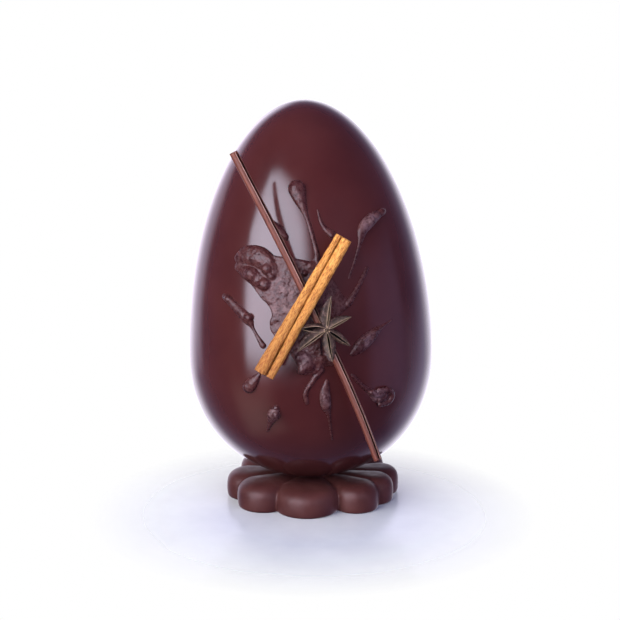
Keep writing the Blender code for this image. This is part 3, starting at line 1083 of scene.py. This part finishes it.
@dataclass
class Dressing:
    """The splash of poured chocolate on the front and the drops thrown out from it."""

    egg: EggShape

    def splash(self) -> Pour:
        """The splash: a fat folded head, a thin crusty sheet and a knobbly lower mass.

        Returns:
            The splash.
        """
        sheet = Sheet(
            (
                (-31, 129.5), (-24, 133), (-16.5, 130.8), (-11, 130.3), (-6, 129.8), (0, 127.6),
                (6, 128), (10, 121), (8, 108), (6, 92), (6, 80), (4, 73), (-4, 73), (-8, 82),
                (-14, 88), (-18.4, 93.8), (-19.1, 98), (-17.8, 102.2), (-19.4, 106.2),
                (-22.5, 109.2), (-25.3, 113), (-28.6, 116.8), (-33, 121), (-34, 126),
            )
        )
        film = Sheet(
            (
                (2, 126), (8, 125.5), (13, 118), (17, 111), (20.5, 106.6), (18.4, 103.4),
                (14, 100), (11, 95), (12, 88), (14, 80), (13, 76.5), (8, 76), (2, 78),
            ),
            0.6,
        )
        upper_fold = (
            (-32.8, 127.4, 3.2), (-29, 129.4, 4.8), (-23.5, 129.2, 5.6), (-18.8, 126.2, 4.8),
            (-16.8, 122, 3.4), (-17.2, 118.8, 2),
        )
        lower_fold = (
            (-33.2, 123.2, 2.8), (-29.5, 121.4, 4.0), (-25, 119.0, 4.2), (-21.5, 116.2, 3.6),
            (-19.4, 113.2, 2.4),
        )
        neck = (
            (-4, 161.5, 4.4), (-2.6, 157, 3.2), (0, 150, 1.3), (2.2, 143, 1.1), (4.7, 133, 1.2),
            (5.5, 124, 2),
        )
        strokes = [
            sheet,
            film,
            Run(upper_fold, 0.68),
            Run(lower_fold, 0.72),
            Knob(-19.2, 124.4, 3.0, 1.5),
            Knob(-17.4, 121.0, 2.2, 1.1),
            Knob(-27.0, 121.0, 3.8, 0.7),
            Knob(-21.0, 116.8, 3.2, 0.9),
            Run(((-8, 128.6, 1.5), (-2, 126.8, 2.1), (4, 125.6, 2)), 0.9),
            Knob(-1.2, 122.6, 1.7, 0.9),
            Knob(4.2, 119.6, 1.8, 0.6),
            Run(((-6, 83, 3.4), (-2.6, 79.6, 4.6), (-1.2, 76.6, 4.4)), 0.8),
            Run(((-1, 80, 3.4), (4.5, 79.2, 3.0), (9, 80, 2.0)), 0.65),
            Knob(-4.8, 81.2, 2.4, 1.9),
            Knob(-3.6, 75.0, 2.8, 1.5),
            Run(((9, 82, 1.4), (10.8, 79.2, 2.1), (14, 77.6, 1.6)), 0.9),
            Run(neck),
            Run(((29.8, 122, 0.9), (25.5, 114.5, 1.1), (20, 106, 1.6))),
            Run(((5.5, 74, 1.8), (0.5, 67.5, 1.3), (-2.5, 62, 1.3), (-2, 57, 1))),
        ]
        crusts = ((-11, 116, 9), (-12, 106, 8), (-8, 97, 8), (-3.5, 80.5, 5.5))
        return Pour(
            "splash", strokes, grain=0.3 * MM, softening=9, lumps=0.28 * MM, crusts=crusts
        )

    def drops(self) -> list[Pour]:
        """The drops that lie apart.

        Returns:
            The drops.
        """
        thorn = ((6.0, 152, 0.45), (7.2, 147.2, 0.7), (9.4, 143.2, 1.1), (12.8, 140, 1.8))
        club = (
            (37, 146, 1.9), (32, 144, 3.2), (28.2, 140.4, 2.8), (26.6, 134.4, 1.0), (24, 127, 0.6),
            (20.6, 118.5, 0.5),
        )
        leaf = (
            (41.4, 93.8, 0.4), (37, 92, 0.8), (33.5, 90.2, 2.1), (28.5, 86.6, 3.4), (24, 83, 2.9),
            (21.4, 81, 1.3),
        )
        curled = (
            (21.5, 69.5, 0.8), (26, 63.5, 1), (30, 59.4, 1.7), (33.5, 56.6, 3.4), (36, 55.6, 3.8),
        )
        rim = (
            (34, 59.8, 1.2), (38.2, 59, 1.5), (40.4, 55.6, 1.3), (38.6, 52.2, 1.3), (34.5, 52, 1.4),
        )
        long_drop = (
            (-41, 107.5, 1.9), (-36, 103.5, 2.2), (-30.5, 98.5, 2.7), (-28, 94.5, 0.9),
            (-25.8, 90.5, 0.9), (-23, 86, 1.6),
        )
        low_leaf = ((8.3, 68, 1), (7.2, 61.5, 2.6), (7.6, 54.6, 2.5), (8.8, 49, 0.9), (10, 35, 0.5))
        fin = ((-16.2, 146, 1.3), (-13.4, 143, 2.1), (-10.2, 139.8, 1.6))
        tadpole = ((-17.6, 53.5, 1.8), (-18.8, 50, 3.2), (-20.5, 45.5, 1.6), (-22.3, 40, 0.6))
        return [
            Pour("drop_thorn", [Run(thorn)]),
            Pour(
                "drop_right_high",
                [
                    Run(club), Knob(37.2, 146.2, 1.9, 0.9), Knob(31.5, 143.4, 2.4, 1.2),
                    Knob(34.4, 145.2, 1.8, 1.2),
                ],
                crusts=((31, 142.6, 6),),
            ),
            Pour(
                "drop_right_leaf",
                [
                    Run(leaf, 0.6), Run(((34, 91.4, 0.7), (26.5, 87.2, 0.9)), 1, 1.6),
                    Knob(31.4, 88.6, 1.7, 1.0),
                ],
                crusts=((28.5, 87, 6),),
            ),
            Pour(
                "drop_right_low",
                [
                    Run(curled, 0.45),
                    Run(((21, 70, 0.7), (26, 63.5, 1.0), (30, 59.8, 1.3)), 1.1),
                    Run(rim, 0.9, 1.0),
                    Run(((30.4, 59.4, 1.6), (33, 57.6, 1.5), (35.6, 58, 1.2)), 0.9, 1.0),
                    Run(((34, 54.6, 1.2), (36.6, 55, 1.0), (37, 57, 0.8)), 0.9, 1.2),
                ],
                crusts=((33, 57, 6),),
            ),
            Pour("drop_low_leaf", [Run(low_leaf, 0.55)], crusts=((6.4, 58, 6.5),)),
            Pour(
                "drop_low_left",
                [Run(tadpole), Knob(-17.4, 51.2, 1.5, 1.6)],
                crusts=((-18.4, 51, 4),),
            ),
            Pour("drop_left_low", [Run(((-31, 63.5, 3), (-28.6, 66.8, 2.7), (-25.4, 71, 1)))]),
            Pour(
                "drop_left_long",
                [Run(long_drop), Knob(-29.6, 99.6, 2.0, 1.0), Knob(-39.6, 107.0, 1.8, 0.7)],
            ),
            Pour("drop_fin", [Run(fin, 1.3)]),
        ]


# The stick.


@dataclass
class RolledStick:
    """The chocolate stick: a thin sheet rolled up, with a long slot on its right side.

    Its `route` is (across, y, up) in millimetres along its middle, from its low end. The slot
    starts and ends at the angles `slot_low` and `slot_high` at the two ends, from the front to
    the right. The sheet's free lip stands out by `flare` and its other edge curls in by `curl`,
    each over an angle of about its `reach`, and both edges thin out over `thinning`. The relief
    is a share `fluting` of the radius, with `flutes` round the sheet that are about
    `flute_length` long. The sheet has `around` corners round its outside and `steps` between two
    points of the route.
    """

    egg: EggShape
    route: Sequence[Point] = (
        (32.7, -75.7, 30.2), (24.5, -72.5, 53.5), (13.4, -68.6, 80.5), (-10.4, -61, 134),
        (-34.5, -54, 184),
    )
    radius: float = 2.1 * MM
    wall: float = 0.5 * MM
    slot_low: tuple[float, float] = (math.radians(20), math.radians(44))
    slot_high: tuple[float, float] = (math.radians(36), math.radians(70))
    flare: float = 0.15 * MM
    flare_reach: float = math.radians(12)
    curl: float = 0.1 * MM
    curl_reach: float = math.radians(16)
    thinning: float = math.radians(8)
    fluting: float = 0.02
    flutes: int = 40
    flute_length: float = 9 * MM
    around: int = 84
    steps: int = 48

    def section(self, along: float) -> np.ndarray:
        """Outline of the rolled sheet, from its free lip round the back and in again.

        Args:
            along: How far up the stick it is, from 0 to 1.

        Returns:
            Rows of (to the right, forward).
        """
        left, right = np.array(self.slot_low) * (1 - along) + np.array(self.slot_high) * along
        turn = np.linspace(right, math.tau + left, self.around)
        flared = self.flare * np.exp(-(turn - right) / self.flare_reach)
        curled = self.curl * np.exp((turn - math.tau - left) / self.curl_reach)
        outer = self.radius + flared - curled
        ends = np.minimum(turn - right, math.tau + left - turn) / self.thinning
        wall = self.wall * np.minimum(1, 0.35 + ends)
        ray = np.stack([np.sin(turn), np.cos(turn)], 1)
        return np.concatenate([ray * outer[:, None], (ray * (outer - wall)[:, None])[::-1]])

    def along(self) -> Point:
        """The direction that it runs in, upward."""
        return tuple(self.egg.turn() @ np.subtract(self.route[-1], self.route[0]))

    def mesh(self) -> Mesh:
        """Sweeps the rolled sheet along the stick.

        Returns:
            The mesh.
        """
        route = smooth_path(np.array(self.route) * MM, self.steps)
        rolled = np.array([self.section(along) for along in np.linspace(0, 1, len(route))])
        size = rolled.shape[:2]
        turns = np.broadcast_to(np.arange(size[1]) / size[1] * self.flutes, size)
        rows = np.broadcast_to(route[:, 2:] / self.flute_length, size)
        at = np.stack([turns, rows, np.zeros_like(rows)], -1).reshape(-1, 3)
        flutes = ripple(at, 1, 2).reshape(size)
        rings = sweep(route, rolled * (1 + self.fluting * flutes[..., None]), (0, -1, 0))
        mesh = loft("chocolate_stick", self.egg.to_world(rings))
        high = np.linspace(0, 1, len(route))[:, None]
        step = np.arange(size[1] // 2)
        free, curled = np.exp(-((step / 1.5) ** 2)), np.exp(-(((step[-1] - 1 - step) / 1.7) ** 2))
        inner = np.ones_like(rows[:, len(step):])
        # Painted highlight: a thin pale line along the free lip near the low end and along the
        # curled edge near the high end.
        wear_and_painted_highlight = free * (1 - high) + curled * np.clip(1.6 * high, 0, 1)
        shade = np.clip(1.5 - step / 6, 0, 1) * np.clip(2 * high - 0.4, 0, 1)
        shade = np.maximum(shade, 0.45 * (1 - high))
        store(mesh, "wear_and_painted_highlight", np.concatenate([wear_and_painted_highlight, 0 * inner], 1).ravel())
        store(mesh, "shade", np.concatenate([shade, inner], 1).ravel())
        return mesh


# The quill.


@dataclass
class CinnamonQuill:
    """The cinnamon stick: bark rolled in from both edges, tapering to its high end.

    Its ends are in the egg's frame, and its seam turns to `facing`. The high end is `taper` as
    wide as the low one. The left roll takes `share_low` and `share_high` of the width at the two
    ends. A roll winds through `wound` degrees, and with a `squareness` of 2 it would be round.
    `ageing` is how brown the low end is. Its relief is fibres, `fibre_stretch` times as long as
    they are wide, and wide dents, and it has `steps` rings.
    """

    egg: EggShape
    low_end: Point = (-22.6 * MM, -75.2 * MM, 76.3 * MM)
    high_end: Point = (18.6 * MM, -63.6 * MM, 141.7 * MM)
    facing: Point = (0.06, -0.98, 0.18)
    half_width: float = 5.3 * MM
    taper: float = 0.78
    bark: float = 0.75 * MM
    share_low: float = 0.60
    share_high: float = 0.34
    seam: float = 0.3 * MM
    wound: float = 330
    squareness: float = 2.5
    ageing: float = 0.6
    fibre_depth: float = 0.12 * MM
    fibre_size: float = 0.9 * MM
    fibre_stretch: float = 14
    dent_depth: float = 0.20 * MM
    dent_size: float = 6 * MM
    steps: int = 150

    def roll(self, radius: float, hand: int, middle: float, steps: int = 44) -> np.ndarray:
        """One roll's outline, from the back round to the seam, inward and back.

        Args:
            radius: Outer radius of the roll.
            hand: 1 for the right roll and -1 for the left one.
            middle: Where the roll's middle lies across the quill.
            steps: Corners along its outside.

        Returns:
            Rows of (across, forward).
        """
        share = np.linspace(0, 1, steps)
        turn = np.radians(-90 + self.wound * share)
        curl = 0.55 * self.bark * np.clip((share - 0.7) / 0.3, 0, 1) ** 2
        layer = radius - self.bark / 2 - 2 * curl
        half = self.bark / 2 * np.minimum(1, 0.4 + (1 - share) * steps / 6)
        ray = np.stack([hand * np.cos(turn), np.sin(turn)], 1)
        ray /= (np.abs(ray) ** self.squareness).sum(1)[:, None] ** (1 / self.squareness)
        outside = ray * (layer + half)[:, None]
        inside = (ray * (layer - half)[:, None])[::-1]
        return np.concatenate([outside, inside]) + np.array([middle, 0])

    def section(self, along: float, wander: float) -> np.ndarray:
        """Outline across the quill.

        Args:
            along: 0 at the low end and 1 at the high end.
            wander: Widening of the seam at this place.

        Returns:
            Rows of (across, forward).
        """
        size = 1 - (1 - self.taper) * along
        half_width = self.half_width * size
        share = self.share_low + (self.share_high - self.share_low) * along
        left, right = half_width * share, half_width * (1 - share)
        seam_at = -half_width + 2 * left
        gap = self.seam * (0.6 + wander)
        right_roll = self.roll(right, 1, seam_at + right + gap / 2)
        left_roll = self.roll(left, -1, seam_at - left - gap / 2)
        return np.concatenate([right_roll, left_roll[::-1]])

    def mesh(self) -> Mesh:
        """Sweeps the bark along the quill and roughens it.

        Returns:
            The mesh.
        """
        low, high = np.array(self.low_end), np.array(self.high_end)
        share = np.linspace(0, 1, self.steps)
        route = low + (high - low) * share[:, None]
        wander = ripple(np.column_stack([share * 9, share * 0, share * 0 + 3.3]), 1, 3)
        sections = np.array(
            [self.section(s, max(0, w) * 1.6) for s, w in zip(share, wander, strict=True)]
        )
        rings = sweep(route, sections, self.facing)
        mesh = loft("cinnamon_stick", rings)
        points, normals = corners(mesh), outward(mesh)
        axis = unit(high - low)
        lengthwise = points @ axis
        fine = points - lengthwise[:, None] * axis * (1 - 1 / self.fibre_stretch)
        relief = self.fibre_depth * ripple(fine, self.fibre_size, 3)
        relief = relief + self.dent_depth * ripple(points, self.dent_size, 3)
        points = points + normals * relief[:, None]
        move_corners(mesh, self.egg.to_world(points))
        aged = self.ageing * np.clip(1 - 1.2 * share, 0, 1)
        store(mesh, "aged", np.repeat(aged, len(points) // len(share)))
        return mesh

    def along(self) -> Point:
        """The direction that it runs in, upward."""
        return tuple(self.egg.turn() @ np.subtract(self.high_end, self.low_end))


# The star anise.


@dataclass(frozen=True)
class Pod:
    """One boat-shaped pod of the star.

    `degrees` is its direction from upright, clockwise, `length` runs from the star's middle to
    its tip, `mouth` is its mouth's half width against its own, and it is turned `roll` degrees
    about its own length.
    """

    degrees: float
    length: float
    half_width: float
    mouth: float = 0.5
    roll: float = 0.0


@dataclass
class StarAnise:
    """The star anise: open pods round a short column.

    Its `centre` is in the egg's frame, its mouths open to `facing`, a pod is `depth` deep below
    its mouth, and its tip bends up by `tip_rise`. `wrinkles` are a share of its size, about
    `wrinkle_size` millimetres across, and it has `steps` rings. A small knob lies at the foot of
    each pod, `knob_ring` from the middle.
    """

    egg: EggShape
    centre: Point = (9.1 * MM, -73.5 * MM, 97.8 * MM)
    facing: Point = (0.36, -0.92, 0.14)
    depth: float = 4.4 * MM
    tip_rise: float = 1.2 * MM
    wrinkles: float = 0.16
    wrinkle_size: Point = (0.9, 1.6, 0.9)
    knob_radius: float = 0.45 * MM
    knob_ring: float = 1.5 * MM
    steps: int = 44
    pods: Sequence[Pod] = (
        Pod(11, 17.1 * MM, 3.0 * MM, 0.24, 22),
        Pod(69, 13.8 * MM, 2.5 * MM, 0.24, 22),
        Pod(130, 14.6 * MM, 2.4 * MM, 0.28, 10),
        Pod(176, 16.0 * MM, 3.2 * MM, 0.18, 16),
        Pod(-117, 18.7 * MM, 3.1 * MM, 0.26, -26),
        Pod(-80, 13.8 * MM, 2.8 * MM, 0.50, 0),
    )

    def outline(self, mouth: float) -> tuple[np.ndarray, np.ndarray, np.ndarray]:
        """Outline across a pod of half width 1 and depth 1.

        Args:
            mouth: Half width of the mouth.

        Returns:
            Rows of (across, out), how much each is a lip, and how much each is in the slit.
        """
        # Columns: across, out, lip share (highest at the crest, painted highlight) and slit share
        # (painted shade).
        knots = np.array(
            (
                (0, -0.62, 0, 1),
                (mouth * 0.7, -0.3, 0, 1), (mouth * 0.88, -0.02, 0.5, 0.3),
                (mouth, 0.07, 1, 0), (mouth * 1.16, -0.02, 0.2, 0),
                (0.86, -0.3, 0, 0), (1.0, -0.55, 0, 0), (0.72, -0.85, 0, 0), (0, -1.0, 0, 0),
            )
        )
        mirrored = knots[-2:0:-1] * np.array((-1, 1, 1, 1))
        curve = smooth_path(np.concatenate([knots, mirrored]), 4, closed=True)
        return curve[:, :2], np.clip(curve[:, 2], 0, 1), np.clip(curve[:, 3], 0, 1)

    def pod(self, pod: Pod, number: int) -> tuple[np.ndarray, np.ndarray, np.ndarray]:
        """A pod along +Y with its mouth on the +Z side, turned to its place.

        Args:
            pod: Its sizes.
            number: Its place in the star, which sets its wrinkles.

        Returns:
            Its rings, and for each corner how much it is a lip and how much in the slit.
        """
        outline, lip, slit = self.outline(pod.mouth)
        along = np.linspace(0, 1, self.steps)[:, None]
        swell = np.maximum(np.sin(math.pi * along**0.8), 0) ** 0.7
        wide = pod.half_width * np.maximum(swell, 0.10)
        deep = self.depth * np.maximum(np.maximum(np.sin(math.pi * along**0.7), 0) ** 0.8, 0.10)
        x = outline[:, 0] * wide
        z = outline[:, 1] * deep
        seed = np.array((number * 3.7, 0, 0))
        at = np.stack([x, along * pod.length + 0 * x, z], -1).reshape(-1, 3)
        wrinkle = ripple(at / MM + seed, self.wrinkle_size, 3).reshape(x.shape)
        swollen = 1 + self.wrinkles * wrinkle * (1 - lip)
        x, z = x * swollen, z * swollen
        x, z = turned(x, z, -math.radians(pod.roll))
        z = z + self.tip_rise * along**2
        x, y = turned(x, along * pod.length + 0 * x, -math.radians(pod.degrees))
        rings = np.stack([x, y, z], -1)
        return rings, np.broadcast_to(lip, x.shape), np.broadcast_to(slit, x.shape)

    def mesh(self) -> Mesh:
        """Joins the pods and the small knobs at the middle.

        Returns:
            The mesh.
        """
        shape = bmesh.new()
        lips, slits = [], []
        for number, pod in enumerate(self.pods):
            rings, lip, slit = self.pod(pod, number)
            part = loft("pod", rings)
            shape.from_mesh(part)
            bpy.data.meshes.remove(part)
            lips.append(lip.ravel())
            slits.append(slit.ravel())
        for pod in self.pods:
            turn = math.radians(pod.degrees)
            ring = self.knob_ring
            place = (ring * math.sin(turn), ring * math.cos(turn), 0.1 * MM)
            knob = bmesh.ops.create_icosphere(
                shape, subdivisions=3, radius=self.knob_radius, matrix=Matrix.Translation(place)
            )
            # The knobs take most of the pale lip colour: painted glints.
            lips.append(np.full(len(knob["verts"]), 0.6))
            slits.append(np.zeros(len(knob["verts"])))
        mesh = from_shape("star_anise", shape)
        store(mesh, "lip", np.concatenate(lips))
        store(mesh, "slit", np.concatenate(slits))
        mesh.transform(aimed(self.facing, (0, 0, 1), self.centre))
        move_corners(mesh, self.egg.to_world(corners(mesh)))
        return mesh


# The studio.


@dataclass(frozen=True)
class PaleFloor:
    """A plain pale tabletop with a soft gloss, which fades out away from the egg."""

    dark: Colour = (0.60, 0.64, 0.70)
    light: Colour = (0.73, 0.77, 0.81)
    fade_start: float = 0.045
    fade_end: float = 0.115

    def material(self) -> Material:
        """Builds the floor's finish.

        Returns:
            The material.
        """
        graph = new_material("pale_floor")
        where = graph.place((1, 1, 0))
        distance = graph.add("VectorMath", "Value", {0: where}, operation="LENGTH")
        there = graph.level(distance, 1, 0, self.fade_start, self.fade_end)
        graph.feed(graph.shader.inputs["Alpha"], there)
        colour = graph.ramp(graph.cloud(where, 60 * MM, 4), [(0.35, self.dark), (0.65, self.light)])
        roughness = graph.level(graph.cloud(where, 20 * MM, 3), 0.10, 0.16)
        normal = graph.bump(graph.cloud(where, 3 * MM, 2), 0.01 * MM)
        return graph.finish(colour, roughness, normal)


class Reach(Enum):
    """What a light panel is seen by."""

    GLOSS = "its reflection only"
    MATT = "its light on matt surfaces only"


@dataclass(frozen=True)
class Panel:
    """A flat light panel that faces the egg and dims softly towards its edge.

    It hangs `right` degrees to the right of the egg's front and `up` degrees above the level. Its
    `outline` is (to the right, up) of its corners from there, `hot` is its brightest point, and
    `feather` is the share of its size that is soft edge.
    """

    name: str
    right: float
    up: float
    distance: float
    strength: float
    colour: Colour
    reach: Reach
    outline: Sequence[Point] = ((-0.5, -0.5), (-0.5, 0.5), (0.5, 0.5), (0.5, -0.5))
    hot: Point = (0, 0)
    feather: float = 0.25

    def place(self, middle: Point) -> Matrix:
        """Where it hangs.

        Args:
            middle: The egg's middle, which it faces.

        Returns:
            Its placement.
        """
        azimuth, height = math.radians(self.right), math.radians(self.up)
        level = math.cos(height)
        away = Vector((level * math.sin(azimuth), -level * math.cos(azimuth), math.sin(height)))
        return aimed(away, (0, 0, 1), Vector(middle) + away * self.distance)

    def mesh(self) -> Mesh:
        """Its face: a soft edge round a bright part with the brightest point in it.

        Returns:
            The mesh.
        """
        edge, hot = np.array(self.outline), np.array(self.hot)
        count = len(edge)
        flat = np.concatenate([edge, hot + (edge - hot) * (1 - self.feather), [hot]])
        faces: list[list[int]] = []
        for here in range(count):
            after = (here + 1) % count
            faces.append([here, after, count + after, count + here])
            faces.append([count + here, count + after, 2 * count])
        mesh = new_mesh(self.name, np.column_stack([flat, np.zeros(len(flat))]), faces)
        store(mesh, "glow", np.array([0.0] * count + [0.8] * count + [1.0]))
        return mesh

    def material(self) -> Material:
        """Its light, which the surround shows through.

        Returns:
            The material.
        """
        graph = new_material(self.name)
        graph.nodes.remove(graph.shader)
        strength = graph.level(graph.kept("glow"), 0, self.strength)
        light = graph.add("Emission", 0, {"Color": self.colour, "Strength": strength})
        clear = graph.add("BsdfTransparent", 0, {})
        both = graph.add("AddShader", 0, {0: light, 1: clear})
        graph.feed(graph.nodes["Material Output"].inputs["Surface"], both)
        return graph.owner

    def build(self, middle: Point) -> None:
        """Hangs the panel.

        Args:
            middle: The egg's middle.
        """
        mesh = self.mesh()
        mesh.materials.append(self.material())
        panel = placed(self.name, mesh)
        panel.matrix_world = self.place(middle)
        panel.visible_camera = False
        panel.visible_shadow = False
        panel.visible_diffuse = self.reach is Reach.MATT
        panel.visible_glossy = self.reach is Reach.GLOSS


@dataclass
class Studio:
    """The floor, the lights and the camera.

    The camera looks at `aim`, from `elevation` above the level. The panels are the big softbox,
    as it is mirrored in the shell and as it lights matt surfaces, and some weak ones. `surround`
    is what the shell mirrors, from straight ahead (0) to behind (1).
    """

    aim: Point = (-1.3 * MM, 0, 99.3 * MM)
    elevation: float = math.radians(16)
    distance: float = 1.4
    lens: float = 156.6
    panels: Sequence[Panel] = (
        Panel(
            "softbox", -30, 12, 1.0, 10.5, (0.93, 0.94, 1.12), Reach.GLOSS,
            (
                (-0.64, -0.60), (-0.70, -0.05), (-0.74, 0.18), (-0.62, 0.46), (-0.52, 0.76),
                (-0.25, 0.79), (0.10, 0.69), (0.36, 0.55), (0.57, 0.38), (0.65, 0.18),
                (0.62, -0.08), (0.50, -0.38), (-0.05, -0.56),
            ),
            hot=(-0.34, 0.08),
            feather=0.24,
        ),
        Panel("right_window", 77, -8, 1.1, 0.42, (0.80, 0.72, 1.35), Reach.GLOSS, feather=0.4),
        Panel("right_glow", 118, -26, 1.3, 0.55, (0.90, 0.80, 1.2), Reach.GLOSS, feather=0.6),
        Panel("low_glow", -58, -40, 1.2, 0.8, (1.0, 0.8, 0.72), Reach.GLOSS, feather=0.6),
        Panel(
            "left_glow", -146, 4, 1.0, 1.5, (0.92, 0.84, 1.04), Reach.GLOSS,
            ((-0.45, -0.5), (-0.45, 0.7), (-0.25, 0.7), (0.55, 0.15), (0.55, -0.5)),
            feather=0.35,
        ),
        Panel("softbox_light", -45, 20, 1.0, 8.6, (1.0, 0.97, 0.94), Reach.MATT),
        Panel("right_fill", 36, 14, 1.3, 5.2, (0.93, 0.93, 1.35), Reach.MATT),
        Panel("top_fill", 0, 80, 1.2, 2.0, (0.85, 0.9, 1.3), Reach.MATT),
    )
    surround: Sequence[tuple[float, Colour]] = (
        (0.0, (0.05, 0.045, 0.06)),
        (0.50, (0.09, 0.08, 0.14)),
        (0.74, (0.16, 0.13, 0.26)),
        (0.86, (0.46, 0.42, 0.66)),
        (0.94, (1.70, 1.60, 1.90)),
    )

    def add_floor(self) -> None:
        """Lays the floor."""
        shape = bmesh.new()
        bmesh.ops.create_circle(shape, cap_ends=True, segments=96, radius=0.4)
        mesh = from_shape("floor", shape)
        mesh.materials.append(PaleFloor().material())
        floor = placed("floor", mesh)
        floor.location = (0, -35 * MM, -0.05 * MM)
        floor.visible_glossy = False
        floor.visible_diffuse = False

    def add_surround(self) -> None:
        """Makes the room: white to the camera, and to the shell bright only behind the egg."""
        world = bpy.data.worlds.new("studio")
        graph = Graph(world)
        where = graph.add("TexCoord", "Generated", {})
        ahead = (0, math.cos(self.elevation), -math.sin(self.elevation))
        behind = graph.add("VectorMath", "Value", {0: where, 1: ahead}, operation="DOT_PRODUCT")
        colour = graph.ramp(graph.level(behind, 0, 1, start=-1), self.surround)
        seen = graph.add("LightPath", "Is Camera Ray", {})
        backdrop = graph.mix(seen, colour, (1.0, 1.0, 1.0))
        graph.feed(graph.nodes["Background"].inputs["Color"], backdrop)
        bpy.context.scene.world = world

    def add_camera(self) -> None:
        """Sets up the camera."""
        camera = placed("camera", bpy.data.cameras.new("camera"))
        camera.data.lens = self.lens
        camera.data.sensor_width = 36
        camera.data.clip_end = 50
        level, height = math.cos(self.elevation), math.sin(self.elevation)
        camera.location = Vector(self.aim) + Vector((0, -level, height)) * self.distance
        camera.rotation_euler = (math.pi / 2 - self.elevation, 0, 0)
        bpy.context.scene.camera = camera

    def build(self) -> None:
        """Builds the whole studio."""
        self.add_camera()
        self.add_floor()
        for panel in self.panels:
            panel.build(self.aim)
        self.add_surround()
        bpy.context.scene.view_settings.view_transform = "Standard"
        LOG.info("studio: camera, floor, %d light panels and surround", len(self.panels))


def main() -> None:
    """Builds every piece in order and reports it."""
    logging.basicConfig(level=logging.INFO, format="%(message)s")
    egg = EggShape()
    Studio().build()
    hand_in("egg_shell", Egg(egg).mesh(), "egg", POLISHED.material())
    hand_in("flower", Flower(egg).mesh(), "flower_base", SATIN.material())
    poured = PouredChocolate().material()
    dressing = Dressing(egg)
    for pour in (dressing.splash(), *dressing.drops()):
        hand_in(f"poured_{pour.node}", pour.mesh(egg), pour.node, poured)
    stick, rolled = RolledStick(egg), RolledChocolate().material()
    hand_in("rolled_stick", stick.mesh(), "chocolate_stick", rolled, stick.along())
    quill, bark = CinnamonQuill(egg), CinnamonBark().material()
    hand_in("quill", quill.mesh(), "cinnamon_stick", bark, quill.along())
    hand_in("star", StarAnise(egg).mesh(), "star_anise", AnisePod().material())


if __name__ == "__main__":
    main()
